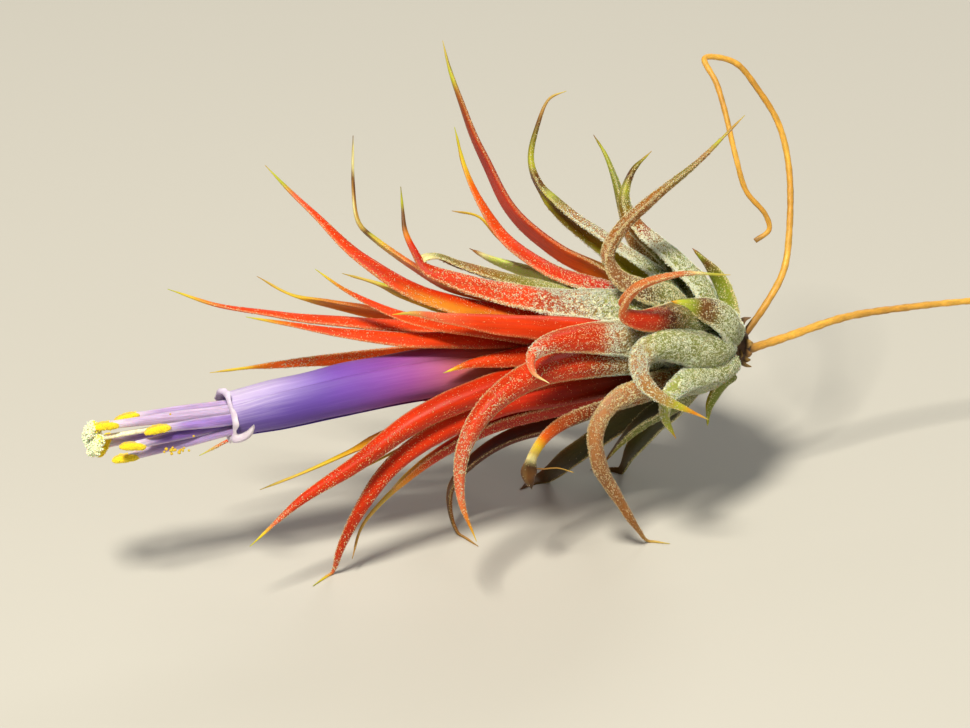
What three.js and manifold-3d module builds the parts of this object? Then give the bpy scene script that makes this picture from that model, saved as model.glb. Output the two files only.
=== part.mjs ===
// A flowering air plant, lying as picked: a rosette of separate leaves on a short stem, two wiry roots,
// and one open flower. It rests on the tips of its lowest leaves.
//
// Everything is measured in millimetres from the foot of the stem, as [forward, up, near]:
// forward runs toward the flower, near toward the side that is seen, and up square to both.
// That sketch leans back by LEAN from upright, and the finished part stands in its own frame with +Z up.

import * as THREE from "three";
import { mergeVertices } from "three/addons/utils/BufferGeometryUtils.js";
import Module from "manifold-3d";

const wasm = await Module();
wasm.setup();

// ---- Driving dimensions, millimetres and degrees ----
const LEAN = THREE.MathUtils.degToRad(30);
const FLOOR = -22; // height of the resting surface under the foot of the stem
const GAP = 0.3; // clearance between neighbouring pieces

const STEM_DIRECTION = [0.956, -0.14, 0.259];
// Along the stem: station and radius.
const STEM_PROFILE = [[-1.4, 1.5], [-0.6, 2.3], [3, 2.6], [8, 2.3], [13, 1.7], [17, 1.1], [21, 0.8]];
const STEM_SIDES = 12;

const LEAF_STEPS = 12; // sections along a leaf
const TIP_EASE = 1.25; // above 1, sections stand closer toward the tip
const LEAF_RING = [-1, -0.62, 0, 0.62, 1]; // places across the outer face, in half widths
const LEAF_HOLLOW = [0.62, 0, -0.62]; // the same across the inner face
const LEAF_THICK = 0.34; // thickness to width at mid blade
const LEAF_CHANNEL = 0.34; // how far the blade is folded, to its width
const THINNEST = 0.6;
const SEATING = 0.12; // how far a tip's midline stays above the resting surface

const TUBE_PATH = [
  [20.8, -3, 5.7], [27.6, -2.8, 7.4], [33.5, -3, 9.1], [44.1, -4.8, 12], [51.2, -6.4, 14], [58.6, -8, 16],
];
// Along the tube: share of its length, radius to mid wall, degrees that one petal covers, and how far
// that petal's one long edge lies outside, and its other inside, the radius.
const TUBE_SECTIONS = [
  [0, 1.6, 125, 0.52], [0.15, 2.1, 145, 0.62], [0.36, 2.46, 150, 0.62], [0.66, 2.62, 150, 0.62],
  [0.86, 2.46, 144, 0.62], [0.93, 2.42, 130, 0.58], [1, 2.65, 96, 0.1],
];
const PETALS = 3;
const PETAL_THICK = 0.6;
const PETAL_GRID = [14, 6];

const CALYX_LENGTH = 5.6;
const CALYX_THICK = 0.6;
const CALYX_SIDES = 12;

const STAMEN_RING = 0.9; // radius of the ring of filaments inside the tube
const STAMEN_START = 5; // section of the tube where the filaments start, joined by a collar
const FILAMENT = { width: 0.8, thick: 0.6 };
const ANTHER = { length: 3.1, width: 1.3 };
// Middle of each anther, and how it lies.
const ANTHERS = [
  { at: [72.5, -9.2, 20.3], lies: [1, -0.1, 0.3] },
  { at: [70.3, -8.3, 18.4], lies: [1, -0.3, 0.2] },
  { at: [73, -11.4, 17], lies: [0.45, -1, 0.3] },
  { at: [70.4, -12.9, 18.8], lies: [1, -0.15, 0.3] },
  { at: [69.4, -11.5, 21], lies: [1, 0, 0.4] },
  { at: [66.6, -9.6, 20.6], lies: [1, -0.22, 0.2] },
];
const STYLE_RADIUS = 0.3;
const OVARY = { station: 21.4, radius: 0.42, length: 3.2 };
const STIGMA = { at: [74.2, -10.8, 19.9], radius: 1.5 };

const ROOTS = [
  {
    name: "root_loop",
    radius: 0.43,
    path: [
      [-0.9, 1.0, 0], [-3.6, 4.5, 0], [-5.9, 8.7, -1], [-6.4, 13.6, -2], [-6.4, 21.1, -3], [-5.2, 26, -3],
      [-2.7, 30.2, -2], [-0.2, 33.2, -1], [2.2, 34, 0.5], [3.5, 33.4, 1.5], [2.5, 30.9, 2.5],
      [1.3, 27.2, 3.5], [0.2, 22.2, 4], [-1.2, 18.1, 4], [-3.2, 15.5, 3.5], [-3.8, 13.4, 3], [-2.2, 12.2, 3],
    ],
  },
  {
    name: "root_trailing",
    radius: 0.52,
    path: [
      [-1.2, -0.6, 0], [-6.1, 0.9, -2], [-13.5, 3.4, -5], [-21.1, 4.7, -8], [-27.6, 5.4, -10],
      [-32, 5.6, -11],
    ],
  },
];
const ROOT_SIDES = 6;

// Leaves from the heart of the rosette to its foot. station is where the leaf leaves the stem,
// width is its widest, and path follows its midline out to the tip.
const LEAVES = [
  { name: "bract", station: 17, width: 3.1, tone: "red",
    path: [[22.4, -0.9, 10.1], [27.6, -1.6, 12.2], [31.2, -2.2, 13.3], [34.1, -3.2, 14]] },
  { name: "lance_lower", station: 16.5, width: 2.6, tone: "red",
    path: [
      [25.3, 0.7, 8.8], [32.4, 0.6, 11.2], [38.2, 0.6, 13], [45.3, 1.3, 14.5], [51.2, 2.2, 15.5],
      [56.7, 3.2, 16.5],
    ] },
  { name: "lance_upper", station: 16, width: 2.6, tone: "red",
    path: [
      [27.6, 1.9, 7.5], [35.9, 1.8, 9.5], [44.1, 2.4, 11], [52.4, 3.2, 12], [60, 4.5, 13],
      [65.8, 6.4, 14],
    ] },
  { name: "amber_long", station: 15.5, width: 2, tone: "orange",
    path: [
      [24, 2.2, 3.6], [30, 2, 3.2], [35.9, 2.5, 2.6], [41.8, 3.8, 1.5], [47.6, 4.9, 0.5], [52.4, 6, 0],
      [56.2, 8.1, -0.5],
    ] },
  { name: "behind_flower_upper", station: 15, width: 2.2, tone: "red",
    path: [
      [24, -0.2, 2.4], [31.2, -0.6, 2.2], [38.2, -0.9, 2.6], [45.3, -1.4, 3.2], [52.4, -2.1, 3.6],
      [61.5, -3.2, 4],
    ] },
  { name: "behind_flower_lower", station: 14.8, width: 2.2, tone: "red",
    path: [
      [23, -3, 2], [30, -3.4, 1.6], [39.4, -4.9, 1.4], [48.8, -7.1, 1.6], [57.1, -10, 2],
      [62.8, -12.9, 2.5],
    ] },
  { name: "fan_amber", station: 14.5, width: 2.2, tone: "orange",
    path: [
      [23, -6.2, 3.8], [27.6, -7, 4.8], [34.7, -8.6, 6.4], [40.6, -10.4, 7.5], [45.3, -12.5, 7.8],
      [50, -14.6, 7.8], [55.5, -16.8, 7.5],
    ] },
  { name: "green_thread", station: 14, width: 1.9, tone: "orange",
    path: [[24, 3.9, 3], [30, 4, 3], [34.7, 4.8, 2.9], [38.8, 6, 2.5], [42.4, 7.4, 2], [46.1, 8.4, 1.5]] },
  { name: "spear_inner", station: 14, width: 2.5, tone: "red",
    path: [
      [21.8, 0.8, 9], [30, 1.9, 12.6], [35.9, 2.6, 14.6], [40.8, 4, 15.5], [45.1, 6.1, 16],
      [48.8, 8.6, 16.5],
    ] },
  { name: "fan_upper", station: 13.5, width: 3.3, tone: "red",
    path: [
      [19, -2.8, 9], [25.3, -3.9, 11.4], [32.4, -6.4, 13.2], [38.2, -9.3, 14], [44.1, -13.6, 14],
      [50.6, -18, 14], [56.4, -23.1, 14],
    ] },
  { name: "back_forward", station: 13, width: 2.8, tone: "red",
    path: [[20, -2.6, 0.8], [25, -4.6, -3], [31, -5.8, -7.5], [36, -6.2, -11.5], [40, -6.2, -15.5]] },
  { name: "fan_sliver", station: 13, width: 1.8, tone: "orange",
    path: [[21, -6.6, 2], [30, -8.8, 3], [34.7, -10.2, 3.2], [39.4, -12.2, 3], [44, -14.6, 2.6]] },
  { name: "long_arch", station: 12.5, width: 3.3, tone: "red",
    path: [
      [18, 2.7, 7.6], [24.1, 3.4, 9.2], [31.2, 4.2, 11], [37.6, 6.2, 12.5], [43.5, 9.8, 13],
      [49.4, 15.3, 13], [54.7, 20.6, 12.5],
    ] },
  { name: "fan_middle", station: 12.5, width: 3.1, tone: "red",
    path: [
      [18.5, -5.4, 7.6], [27.6, -7.2, 10], [33.5, -9.6, 10.8], [38.8, -13, 10.6], [43.5, -18.6, 8.6],
      [46.2, -23.6, 5.4], [47.4, -26.8, 2.6], [49.4, -28.2, 4.8],
    ] },
  { name: "kinked", station: 12, width: 2.6, tone: "orange",
    path: [
      [20, 3.6, 4.2], [27.6, 5.3, 4.8], [33.5, 6.7, 5], [38.2, 9.4, 5], [42.2, 12.3, 5], [43.9, 13.8, 5],
      [44.5, 15.2, 5], [44.8, 18.8, 5], [44.8, 24.4, 5],
    ] },
  { name: "fan_lower", station: 11.5, width: 2.8, tone: "red",
    path: [
      [17.4, -6.4, 4.4], [27.6, -9, 6.4], [32.9, -11.4, 6.8], [37.6, -14.6, 6.6], [41.8, -18.6, 6],
      [43.9, -21.4, 5], [44.9, -24.9, 4],
    ] },
  { name: "curled_down", station: 11, width: 3.7, tone: "red",
    path: [
      [13.5, 1.2, 9], [19.4, 1.9, 12], [26.5, 2.4, 15.4], [33.5, 3, 18.5], [37.6, 3.6, 20.5],
      [39.8, 3.4, 22],
    ] },
  { name: "back_thread", station: 11, width: 1.8, tone: "orange",
    path: [
      [16, 4.4, -2], [19.4, 7, -4.2], [24.1, 10, -6.4], [28, 13.2, -8], [30.2, 15.4, -9],
      [33.3, 16.1, -10],
    ] },
  { name: "back_upper", station: 10.5, width: 3, tone: "red",
    path: [[15, 2, -2.6], [20, 2.8, -7.2], [26, 4, -12], [31, 5, -16], [34.5, 5.6, -20.5]] },
  { name: "green_short", station: 10.5, width: 2.4, tone: "green",
    path: [[15.6, 5.4, 2.4], [20, 7, 1.6], [25, 8.8, 0.2], [28.4, 10.1, -1], [31.2, 11.4, -2]] },
  { name: "olive_channel", station: 10.5, width: 2.6, tone: "green",
    path: [
      [15.6, 4.6, 4.6], [20.6, 6.2, 6.4], [27.6, 7.8, 8.6], [32.4, 9.2, 10.4], [35, 10.2, 11.6],
      [36.5, 10, 12.6], [36.9, 9, 13.2],
    ] },
  { name: "swept_up", station: 10, width: 3.4, tone: "red",
    path: [
      [14, 5.6, 6.2], [18, 7, 5.4], [22.4, 8.8, 4.2], [26.5, 11.8, 3], [30, 16.5, 2.4], [31.9, 21.2, 2],
      [33, 25.5, 2],
    ] },
  { name: "back_middle", station: 9.5, width: 3, tone: "green",
    path: [[13, -0.4, -3.6], [18, -1, -8.5], [24, -2, -13.5], [29, -3.4, -18], [32, -5.4, -22.5]] },
  { name: "broad_kinked", station: 9, width: 4.2, tone: "red",
    path: [
      [13, 4.5, 8.4], [20.6, 5, 10], [27.6, 6.1, 11.6], [33.5, 7.7, 12.6], [36.4, 8.9, 12.8],
      [37.5, 10.6, 12.8], [38.6, 13, 12.6], [38.9, 15.6, 12.2], [39.1, 18.2, 12],
    ] },
  { name: "front_drop", station: 8.5, width: 3.6, tone: "red",
    path: [
      [11.2, -1, 9.4], [17.3, -1.8, 13.4], [22.4, -2.9, 16.4], [26.4, -4.9, 18.6], [29.8, -8, 19.8],
      [32, -12.6, 19.6], [32.1, -17.6, 18.4], [30.4, -22.4, 17],
    ] },
  { name: "shaded_drop", station: 8, width: 2.8, tone: "bronze",
    path: [
      [13.5, -6.2, 1.4], [20.6, -9, 0.2], [27.1, -11.2, -1], [31.2, -14, -2], [33.5, -17, -3],
      [33.4, -20.6, -4.2], [32.2, -22.8, -4.8], [30.2, -23.8, -2.8],
    ] },
  { name: "tall", station: 8, width: 3.9, tone: "red",
    path: [
      [12.4, 6.6, 1.2], [15.9, 8.6, 0], [20.6, 11, -1.2], [25.3, 14.8, -2], [29.4, 21.8, -3],
      [32.4, 29.1, -4], [34.4, 36.1, -5],
    ] },
  { name: "curled_hook", station: 7, width: 4.4, tone: "red",
    path: [
      [8.8, 1.2, 9], [13.5, 1, 13], [18.8, 0.8, 17], [22.4, 0, 20], [24.1, -1.4, 22], [23.9, -3.2, 23],
      [22.2, -4.4, 23.4],
    ] },
  { name: "amber_tipped", station: 7, width: 3.6, tone: "bronze",
    path: [
      [9.6, -5.4, 6], [15.1, -7.2, 8.6], [19.4, -8.6, 10.4], [22.1, -10.4, 11.6], [23.8, -12.8, 12],
      [24.4, -14.8, 11.8], [24, -16.6, 11.4],
    ] },
  { name: "prop_forward", station: 6.5, width: 3.2, tone: "bronze",
    path: [
      [9.5, -6.4, -3], [15, -10.6, -7.8], [19.4, -13.8, -12], [22.2, -15.8, -15.8], [23.4, -16.4, -15.6],
      [25.2, -17.4, -13.9],
    ] },
  { name: "swan_neck", station: 6, width: 3.9, tone: "green",
    path: [
      [9.2, 7.2, 1.6], [14.7, 11.4, 0.2], [19.6, 15.2, -1], [22.9, 18.5, -2], [24, 21.8, -2.4],
      [23.3, 26, -2.8], [21.8, 29.1, -3], [19.8, 30, -3],
    ] },
  { name: "under_green", station: 5.5, width: 3.2, tone: "green",
    path: [[7, -6.4, 1.2], [10.6, -8.8, -1], [13.5, -11.6, -3.4], [15.2, -13.8, -5.6]] },
  { name: "recurved_tall", station: 5.5, width: 3.3, tone: "bronze",
    path: [
      [8.2, 5.6, 6.4], [11.4, 6.6, 9.8], [14.4, 8, 12.4], [15.4, 10.2, 14], [13.8, 13.3, 14.8],
      [10, 16.9, 14.8], [4.7, 21.3, 13.4], [-0.6, 26.5, 11],
    ] },
  { name: "back_low", station: 5, width: 3.4, tone: "green",
    path: [[6.5, -3.6, -6.2], [9.6, -5.4, -11.4], [11.4, -7.4, -16.6], [10.6, -9.6, -21.5]] },
  { name: "prop_rear", station: 4.5, width: 3.4, tone: "green",
    path: [
      [6, -5.8, -4], [9.2, -9.4, -9], [11.8, -12.8, -13.6], [13, -15.2, -17.2], [14.2, -15.8, -18.2],
      [16.6, -15.8, -18.2],
    ] },
  { name: "green_back_upright", station: 4.5, width: 3.1, tone: "green",
    path: [
      [5.9, 7, -0.6], [9.4, 10, -2], [11.9, 13, -4], [13, 16.6, -6], [13.9, 19.8, -7], [15, 22.6, -7.8],
      [16.4, 25.1, -8.5],
    ] },
  { name: "trailing_bow", station: 4, width: 3, tone: "bronze",
    path: [
      [7.4, -4.4, 7], [11.2, -5.2, 9.6], [14.7, -7, 11], [16.4, -10, 11], [16.1, -13.5, 8.6],
      [13.8, -17.9, 4], [11.4, -21.6, -0.6], [10, -23.2, -3.6], [7.6, -23.7, -3.4],
    ] },
  { name: "looped_front", station: 4, width: 3.9, tone: "red",
    path: [
      [5.6, 3.2, 8.4], [8.2, 3.2, 12.2], [11.4, 2.9, 16], [13.8, 4, 18.8], [12.1, 6.5, 20.6],
      [7.4, 8, 20.6], [1.5, 8, 18.8],
    ] },
  { name: "hooked_back", station: 3.5, width: 4.2, tone: "green",
    path: [
      [4.7, 6.6, 3], [6.8, 9, 4], [9.4, 11.4, 4.6], [11.9, 13.8, 5], [13.3, 16.8, 5.4],
      [12.4, 20.1, 5.4], [10, 22.6, 5],
    ] },
  { name: "basal_hook", station: 3, width: 4.4, tone: "silver",
    path: [
      [3.6, -0.6, 8], [6.5, 0.1, 11.8], [9.4, 0, 14.6], [11.4, -1.5, 16.6], [11.4, -3.6, 17.4],
      [9.4, -5.8, 17], [3.8, -8.6, 14.6],
    ] },
  { name: "back_curl", station: 3, width: 3.6, tone: "green",
    path: [[4, 2.6, -6.8], [7, 3.6, -12.4], [7.4, 3.6, -18.4], [4.2, 2.4, -23.4]] },
  { name: "basal_low", station: 2.5, width: 4.4, tone: "silver",
    path: [
      [3.2, -3.4, 6.4], [5.2, -4, 9.4], [7, -5, 11.6], [8.4, -6.4, 12.6], [8.6, -8.4, 12.4],
      [7.4, -10.8, 11.2],
    ] },
  { name: "basal_point", station: 2, width: 4.4, tone: "silver",
    path: [[1.6, 3.4, 6.6], [3, 5, 8.6], [5.2, 5.7, 9.8], [7.9, 5.6, 10.4]] },
  { name: "basal_stub", station: 1.6, width: 2.4, tone: "green",
    path: [[2.4, -5.4, 2], [3.2, -7.2, 2.2], [3.3, -9.4, 2]] },
  { name: "basal_fold", station: 1.2, width: 3.6, tone: "green",
    path: [[1, 5, 1.6], [1.5, 7, 2.4], [2.8, 9, 3], [5.1, 11.3, 3.4]] },
];

const MATERIALS = {
  red: { color: 0xd8402a, roughness: 0.6 },
  orange: { color: 0xd98a2c, roughness: 0.6 },
  bronze: { color: 0x9a6440, roughness: 0.75 },
  green: { color: 0x8a9a5c, roughness: 0.75 },
  silver: { color: 0xa9b092, roughness: 0.85 },
  stem: { color: 0x5a4630, roughness: 0.9 },
  root: { color: 0xb98a3c, roughness: 0.7 },
  calyx: { color: 0x9aa56a, roughness: 0.6 },
  petal: { color: 0x7a58c8, roughness: 0.45 },
  filament: { color: 0xa890d8, roughness: 0.5 },
  anther: { color: 0xe8c814, roughness: 0.8 },
  pistil: { color: 0xe8e6b4, roughness: 0.7 },
};

// ---- Frames and curves ----

// A sketch point [forward, up, near] as a point of the part's frame.
function place([forward, up, near]) {
  return new THREE.Vector3(
    -forward,
    up * Math.sin(LEAN) - near * Math.cos(LEAN),
    up * Math.cos(LEAN) + near * Math.sin(LEAN),
  );
}

const AXIS = place(STEM_DIRECTION).normalize();

function onStem(station) {
  return AXIS.clone().multiplyScalar(station);
}

function stemRadius(station) {
  const i = STEM_PROFILE.findIndex(([s]) => s >= station);
  const [s0, r0] = STEM_PROFILE[i - 1];
  const [s1, r1] = STEM_PROFILE[i];
  return THREE.MathUtils.mapLinear(station, s0, s1, r0, r1);
}

// Unit vector from the stem's axis straight out to a point.
function outwardTo(point) {
  return point.clone().addScaledVector(AXIS, -point.dot(AXIS)).normalize();
}

function midline(points, steps, shareAt = (t) => t) {
  const curve = new THREE.CatmullRomCurve3(points, false, "centripetal");
  return Array.from({ length: steps + 1 }, (_, i) => curve.getPointAt(shareAt(i / steps)));
}

// Tangent, side and outward directions along a line of points, with no twist of their own.
function framesAlong(line, firstOut) {
  const frames = [];
  let out = firstOut.clone();
  line.forEach((point, i) => {
    const ahead = line[Math.min(i + 1, line.length - 1)];
    const behind = line[Math.max(i - 1, 0)];
    const along = ahead.clone().sub(behind).normalize();
    out = out.clone().addScaledVector(along, -out.dot(along)).normalize();
    frames.push({ point, along, out, side: new THREE.Vector3().crossVectors(along, out) });
  });
  return frames;
}

// ---- Solids ----

// Closed solid of a geometry, ready to be joined or cut.
function toSolid(geometry) {
  const bare = geometry.clone();
  bare.deleteAttribute("normal");
  bare.deleteAttribute("uv");
  const merged = mergeVertices(bare, 1e-4);
  return new wasm.Manifold(new wasm.Mesh({
    numProp: 3,
    vertProperties: new Float32Array(merged.attributes.position.array),
    triVerts: new Uint32Array(merged.index.array),
  }));
}

function toGeometry(solid) {
  const { vertProperties, triVerts } = solid.getMesh();
  const geometry = new THREE.BufferGeometry();
  geometry.setAttribute("position", new THREE.Float32BufferAttribute(vertProperties, 3));
  geometry.setIndex(Array.from(triVerts));
  geometry.computeBoundingBox();
  return geometry;
}

function joined(solids) {
  return solids.reduce((all, solid) => all.add(solid));
}

// Triangles of the wall between rings of points that all go round the same way.
function wallBetween(rings) {
  const sides = rings[0].length;
  const triangles = [];
  for (let i = 0; i + 1 < rings.length; i++) {
    for (let j = 0; j < sides; j++) {
      const a = i * sides + j;
      const b = i * sides + ((j + 1) % sides);
      triangles.push(a, b, b + sides, a, b + sides, a + sides);
    }
  }
  return triangles;
}

function solidFrom(vertices, triangles) {
  const geometry = new THREE.BufferGeometry();
  const values = vertices.flatMap((v) => v.toArray());
  geometry.setAttribute("position", new THREE.Float32BufferAttribute(values, 3));
  geometry.setIndex(triangles);
  return toSolid(geometry);
}

// Solid through rings of points, closed by a cap at its start and by a cap or a point at its end.
function ringsToSolid(rings, tip) {
  const sides = rings[0].length;
  const vertices = rings.flat();
  const triangles = wallBetween(rings);
  const centreOf = (ring) => ring.reduce((sum, v) => sum.add(v), new THREE.Vector3()).divideScalar(sides);
  const first = vertices.push(centreOf(rings[0])) - 1;
  const last = vertices.push(tip ?? centreOf(rings.at(-1))) - 1;
  const end = (rings.length - 1) * sides;
  for (let j = 0; j < sides; j++) {
    const k = (j + 1) % sides;
    triangles.push(first, k, j, last, end + j, end + k);
  }
  return solidFrom(vertices, triangles);
}

// The same for a thin curved section, whose ring goes out along one face and back along the other.
function shellToSolid(rings) {
  const sides = rings[0].length;
  const triangles = wallBetween(rings);
  const end = (rings.length - 1) * sides;
  for (let j = 0; j + 1 < sides / 2; j++) {
    const k = sides - 1 - j;
    triangles.push(j, k, k - 1, j, k - 1, j + 1);
    triangles.push(end + j, end + k - 1, end + k, end + j, end + j + 1, end + k - 1);
  }
  return solidFrom(rings.flat(), triangles);
}

const UPWARD = new THREE.Vector3(0, 0.3, 1).normalize();

// Swept solid with an oval section. radiusAt gives half the width and half the thickness at a share
// of the path.
function sweep(points, steps, sides, radiusAt, { grow = 0, facing = UPWARD } = {}) {
  const line = midline(points, steps);
  const rings = framesAlong(line, facing).map(({ point, out, side }, i) => {
    const [wide, thick] = radiusAt(i / steps);
    return Array.from({ length: sides }, (_, j) => {
      const turn = (2 * Math.PI * j) / sides;
      return point.clone()
        .addScaledVector(side, (wide + grow) * Math.cos(turn))
        .addScaledVector(out, -(thick + grow) * Math.sin(turn));
    });
  });
  return ringsToSolid(rings);
}

function leafWidthAt(t) {
  const sheath = THREE.MathUtils.lerp(0.8, 1, Math.min(t / 0.2, 1));
  const taper = 1 - Math.max((t - 0.25) / 0.75, 0) ** 1.25;
  return sheath * taper;
}

// A channelled blade: folded round the stem at its foot, slender and almost round at its tip.
function leafSolid({ station, width, path }, grow = 0) {
  const visible = path.map(place);
  const out = outwardTo(visible[0]);
  const foot = onStem(station).addScaledVector(out, stemRadius(station) + GAP + 0.3 * width * LEAF_THICK);
  const shareAt = (s) => 1 - (1 - s) ** TIP_EASE;
  const line = midline([foot, ...visible], LEAF_STEPS, shareAt);
  line.forEach((point) => (point.z = Math.max(point.z, FLOOR + SEATING)));
  const tip = line.at(-1);
  const rings = framesAlong(line, out).slice(0, -1).map((frame, i) => {
    const t = shareAt(i / LEAF_STEPS);
    const wide = Math.max(width * leafWidthAt(t), THINNEST);
    const thick = Math.min(wide, Math.max(width * LEAF_THICK * (1 - 0.3 * t), THINNEST));
    const fold = LEAF_CHANNEL * wide * Math.min(1, 3 * (1 - t));
    const at = (q, face) => {
      const lift = fold * (0.5 - q * q) + face * (thick / 2 + grow) * Math.sqrt(Math.max(1 - q * q, 0));
      return frame.point.clone()
        .addScaledVector(frame.side, q * (wide / 2 + grow))
        .addScaledVector(frame.out, lift);
    };
    return [...LEAF_RING.map((q) => at(q, 1)), ...LEAF_HOLLOW.map((q) => at(q, -1))];
  });
  return ringsToSolid(rings, tip);
}

function stemSolid(grow = 0) {
  const side = [];
  STEM_PROFILE.forEach(([station, radius]) => side.push(new THREE.Vector2(radius + grow, station)));
  const [low] = STEM_PROFILE[0];
  const [high] = STEM_PROFILE.at(-1);
  const outline = [new THREE.Vector2(0, low - grow), ...side, new THREE.Vector2(0, high + grow)];
  const geometry = new THREE.LatheGeometry(outline, STEM_SIDES);
  const turn = new THREE.Quaternion().setFromUnitVectors(new THREE.Vector3(0, 1, 0), AXIS);
  return toSolid(geometry.applyQuaternion(turn));
}

function tubeFrames() {
  const line = midline(TUBE_PATH.map(place), PETAL_GRID[0]);
  return framesAlong(line, UPWARD);
}

// Radius, petal span and spiral of the tube at a share of its length.
function tubeAt(t) {
  const i = Math.max(TUBE_SECTIONS.findIndex(([share]) => share >= t), 1);
  const [before, after] = [TUBE_SECTIONS[i - 1], TUBE_SECTIONS[i]];
  const between = (v, k) => THREE.MathUtils.mapLinear(t, before[0], after[0], v, after[k]);
  const [, radius, span, spiral] = before.map(between);
  return { radius, span: THREE.MathUtils.degToRad(span), spiral };
}

// One of the petals that roll into the tube: each has one long edge over and one under its neighbours.
function petalSolid(index, grow = 0) {
  const [rows, columns] = PETAL_GRID;
  const wall = PETAL_THICK / 2 + grow;
  const rings = tubeFrames().map(({ point, out, side }, i) => {
    const { radius, span, spiral } = tubeAt(i / rows);
    const at = (j, offset) => {
      const share = j / columns - 0.5;
      const turn = (2 * Math.PI * index) / PETALS + share * (span + (2 * grow) / radius);
      const reach = radius + 2 * share * spiral + offset;
      return point.clone()
        .addScaledVector(out, reach * Math.cos(turn))
        .addScaledVector(side, reach * Math.sin(turn));
    };
    const outer = Array.from({ length: columns + 1 }, (_, j) => at(j, wall));
    const inner = Array.from({ length: columns + 1 }, (_, j) => at(columns - j, -wall));
    return [...outer, ...inner];
  });
  return shellToSolid(rings);
}

// The sepals, joined low down round the foot of the tube.
function calyxSolid(grow = 0) {
  const frames = tubeFrames();
  const length = frames[0].point.distanceTo(frames[1].point);
  const steps = Math.round(CALYX_LENGTH / length);
  const surface = (offset, first, last) => frames.slice(first, last + 1).map(({ point, out, side }, i) => {
    const { radius, spiral } = tubeAt((first + i) / PETAL_GRID[0]);
    const reach = radius + spiral + PETAL_THICK / 2 + GAP + offset;
    return Array.from({ length: CALYX_SIDES }, (_, j) => {
      const turn = (2 * Math.PI * j) / CALYX_SIDES;
      return point.clone()
        .addScaledVector(side, reach * Math.cos(turn))
        .addScaledVector(out, -reach * Math.sin(turn));
    });
  });
  const outside = surface(CALYX_THICK + grow, 0, steps);
  const inside = surface(-grow, 0, steps).map((ring, i, all) => {
    const along = frames[i === 0 ? 0 : steps].along;
    const past = i === 0 ? -1 : i === all.length - 1 ? 1 : 0;
    return ring.map((v) => v.clone().addScaledVector(along, past));
  });
  return ringsToSolid(outside).subtract(ringsToSolid(inside));
}

// Filaments stand in a ring in the tube, touch each other there, and part toward their anthers.
function filamentPath(index) {
  const turn = (2 * Math.PI * index) / ANTHERS.length;
  const frames = tubeFrames();
  const inTube = [STAMEN_START, 8, 11, PETAL_GRID[0]].map((i) => {
    const { point, out, side } = frames[i];
    return point.clone()
      .addScaledVector(out, STAMEN_RING * Math.cos(turn))
      .addScaledVector(side, STAMEN_RING * Math.sin(turn));
  });
  const { at } = ANTHERS[index];
  const target = place(at);
  const back = inTube.at(-1).clone().sub(target).normalize();
  return [...inTube, target.addScaledVector(back, ANTHER.width / 2 + GAP + 0.1)];
}

function filamentsSolid(grow = 0) {
  const frames = tubeFrames();
  const each = ANTHERS.map((_, i) => {
    const half = (t) => [FILAMENT.width / 2 * (1 - 0.25 * t ** 4), FILAMENT.thick / 2];
    const path = filamentPath(i);
    const facing = path[0].clone().sub(frames[STAMEN_START].point).normalize();
    return sweep(path, 9, 6, half, { grow, facing });
  });
  const collar = (radius, from, to) => sweep([from, to], 1, 12, () => [radius, radius]);
  const [low, high] = [frames[STAMEN_START].point, frames[STAMEN_START + 1].point];
  const past = high.clone().sub(low);
  const outside = collar(STAMEN_RING + FILAMENT.thick / 2 + grow, low, high);
  const bore = STAMEN_RING - FILAMENT.thick / 2 - grow;
  const inside = collar(bore, low.clone().sub(past), high.clone().add(past));
  return joined([...each, outside.subtract(inside)]);
}

function antherSolid({ at, lies }, grow = 0) {
  const geometry = new THREE.SphereGeometry(0.5, 8, 6).rotateZ(Math.PI / 2);
  const width = ANTHER.width + 2 * grow;
  geometry.scale(ANTHER.length + 2 * grow, width, width);
  const turn = new THREE.Quaternion().setFromUnitVectors(new THREE.Vector3(1, 0, 0), place(lies).normalize());
  geometry.applyQuaternion(turn);
  const middle = place(at);
  geometry.translate(middle.x, middle.y, middle.z);
  return toSolid(geometry);
}

// Ovary, long style and a stigma of three short spreading lobes, grown as one.
function pistilSolid(grow = 0) {
  const frames = tubeFrames();
  const foot = onStem(OVARY.station);
  const stigma = place(STIGMA.at);
  const path = [foot, frames[2].point, frames[7].point, frames.at(-1).point, stigma];
  const total = foot.distanceTo(stigma);
  const style = sweep(path, 16, 6, (t) => {
    const swell = Math.max(1 - Math.abs((t * total) / OVARY.length - 0.6), 0);
    const radius = STYLE_RADIUS + (OVARY.radius - STYLE_RADIUS) * Math.min(swell, 1);
    return [radius, radius];
  }, { grow });
  const lobes = [0, 1, 2].map((k) => {
    const turn = (2 * Math.PI * k) / 3;
    const lobe = new THREE.SphereGeometry(STIGMA.radius * 0.62 + grow, 8, 6);
    lobe.scale(0.8, 1, 1);
    const shift = new THREE.Vector3(-0.3, Math.cos(turn), Math.sin(turn)).multiplyScalar(STIGMA.radius * 0.5);
    lobe.translate(stigma.x + shift.x, stigma.y + shift.y, stigma.z + shift.z);
    return toSolid(lobe);
  });
  return joined([style, ...lobes]);
}

function rootSolid({ radius, path }, grow = 0) {
  const taper = (t) => [radius * (1 - 0.3 * t), radius * (1 - 0.3 * t)];
  return sweep(path.map(place), path.length * 2, ROOT_SIDES, taper, { grow });
}

// ---- Assembly ----

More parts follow.
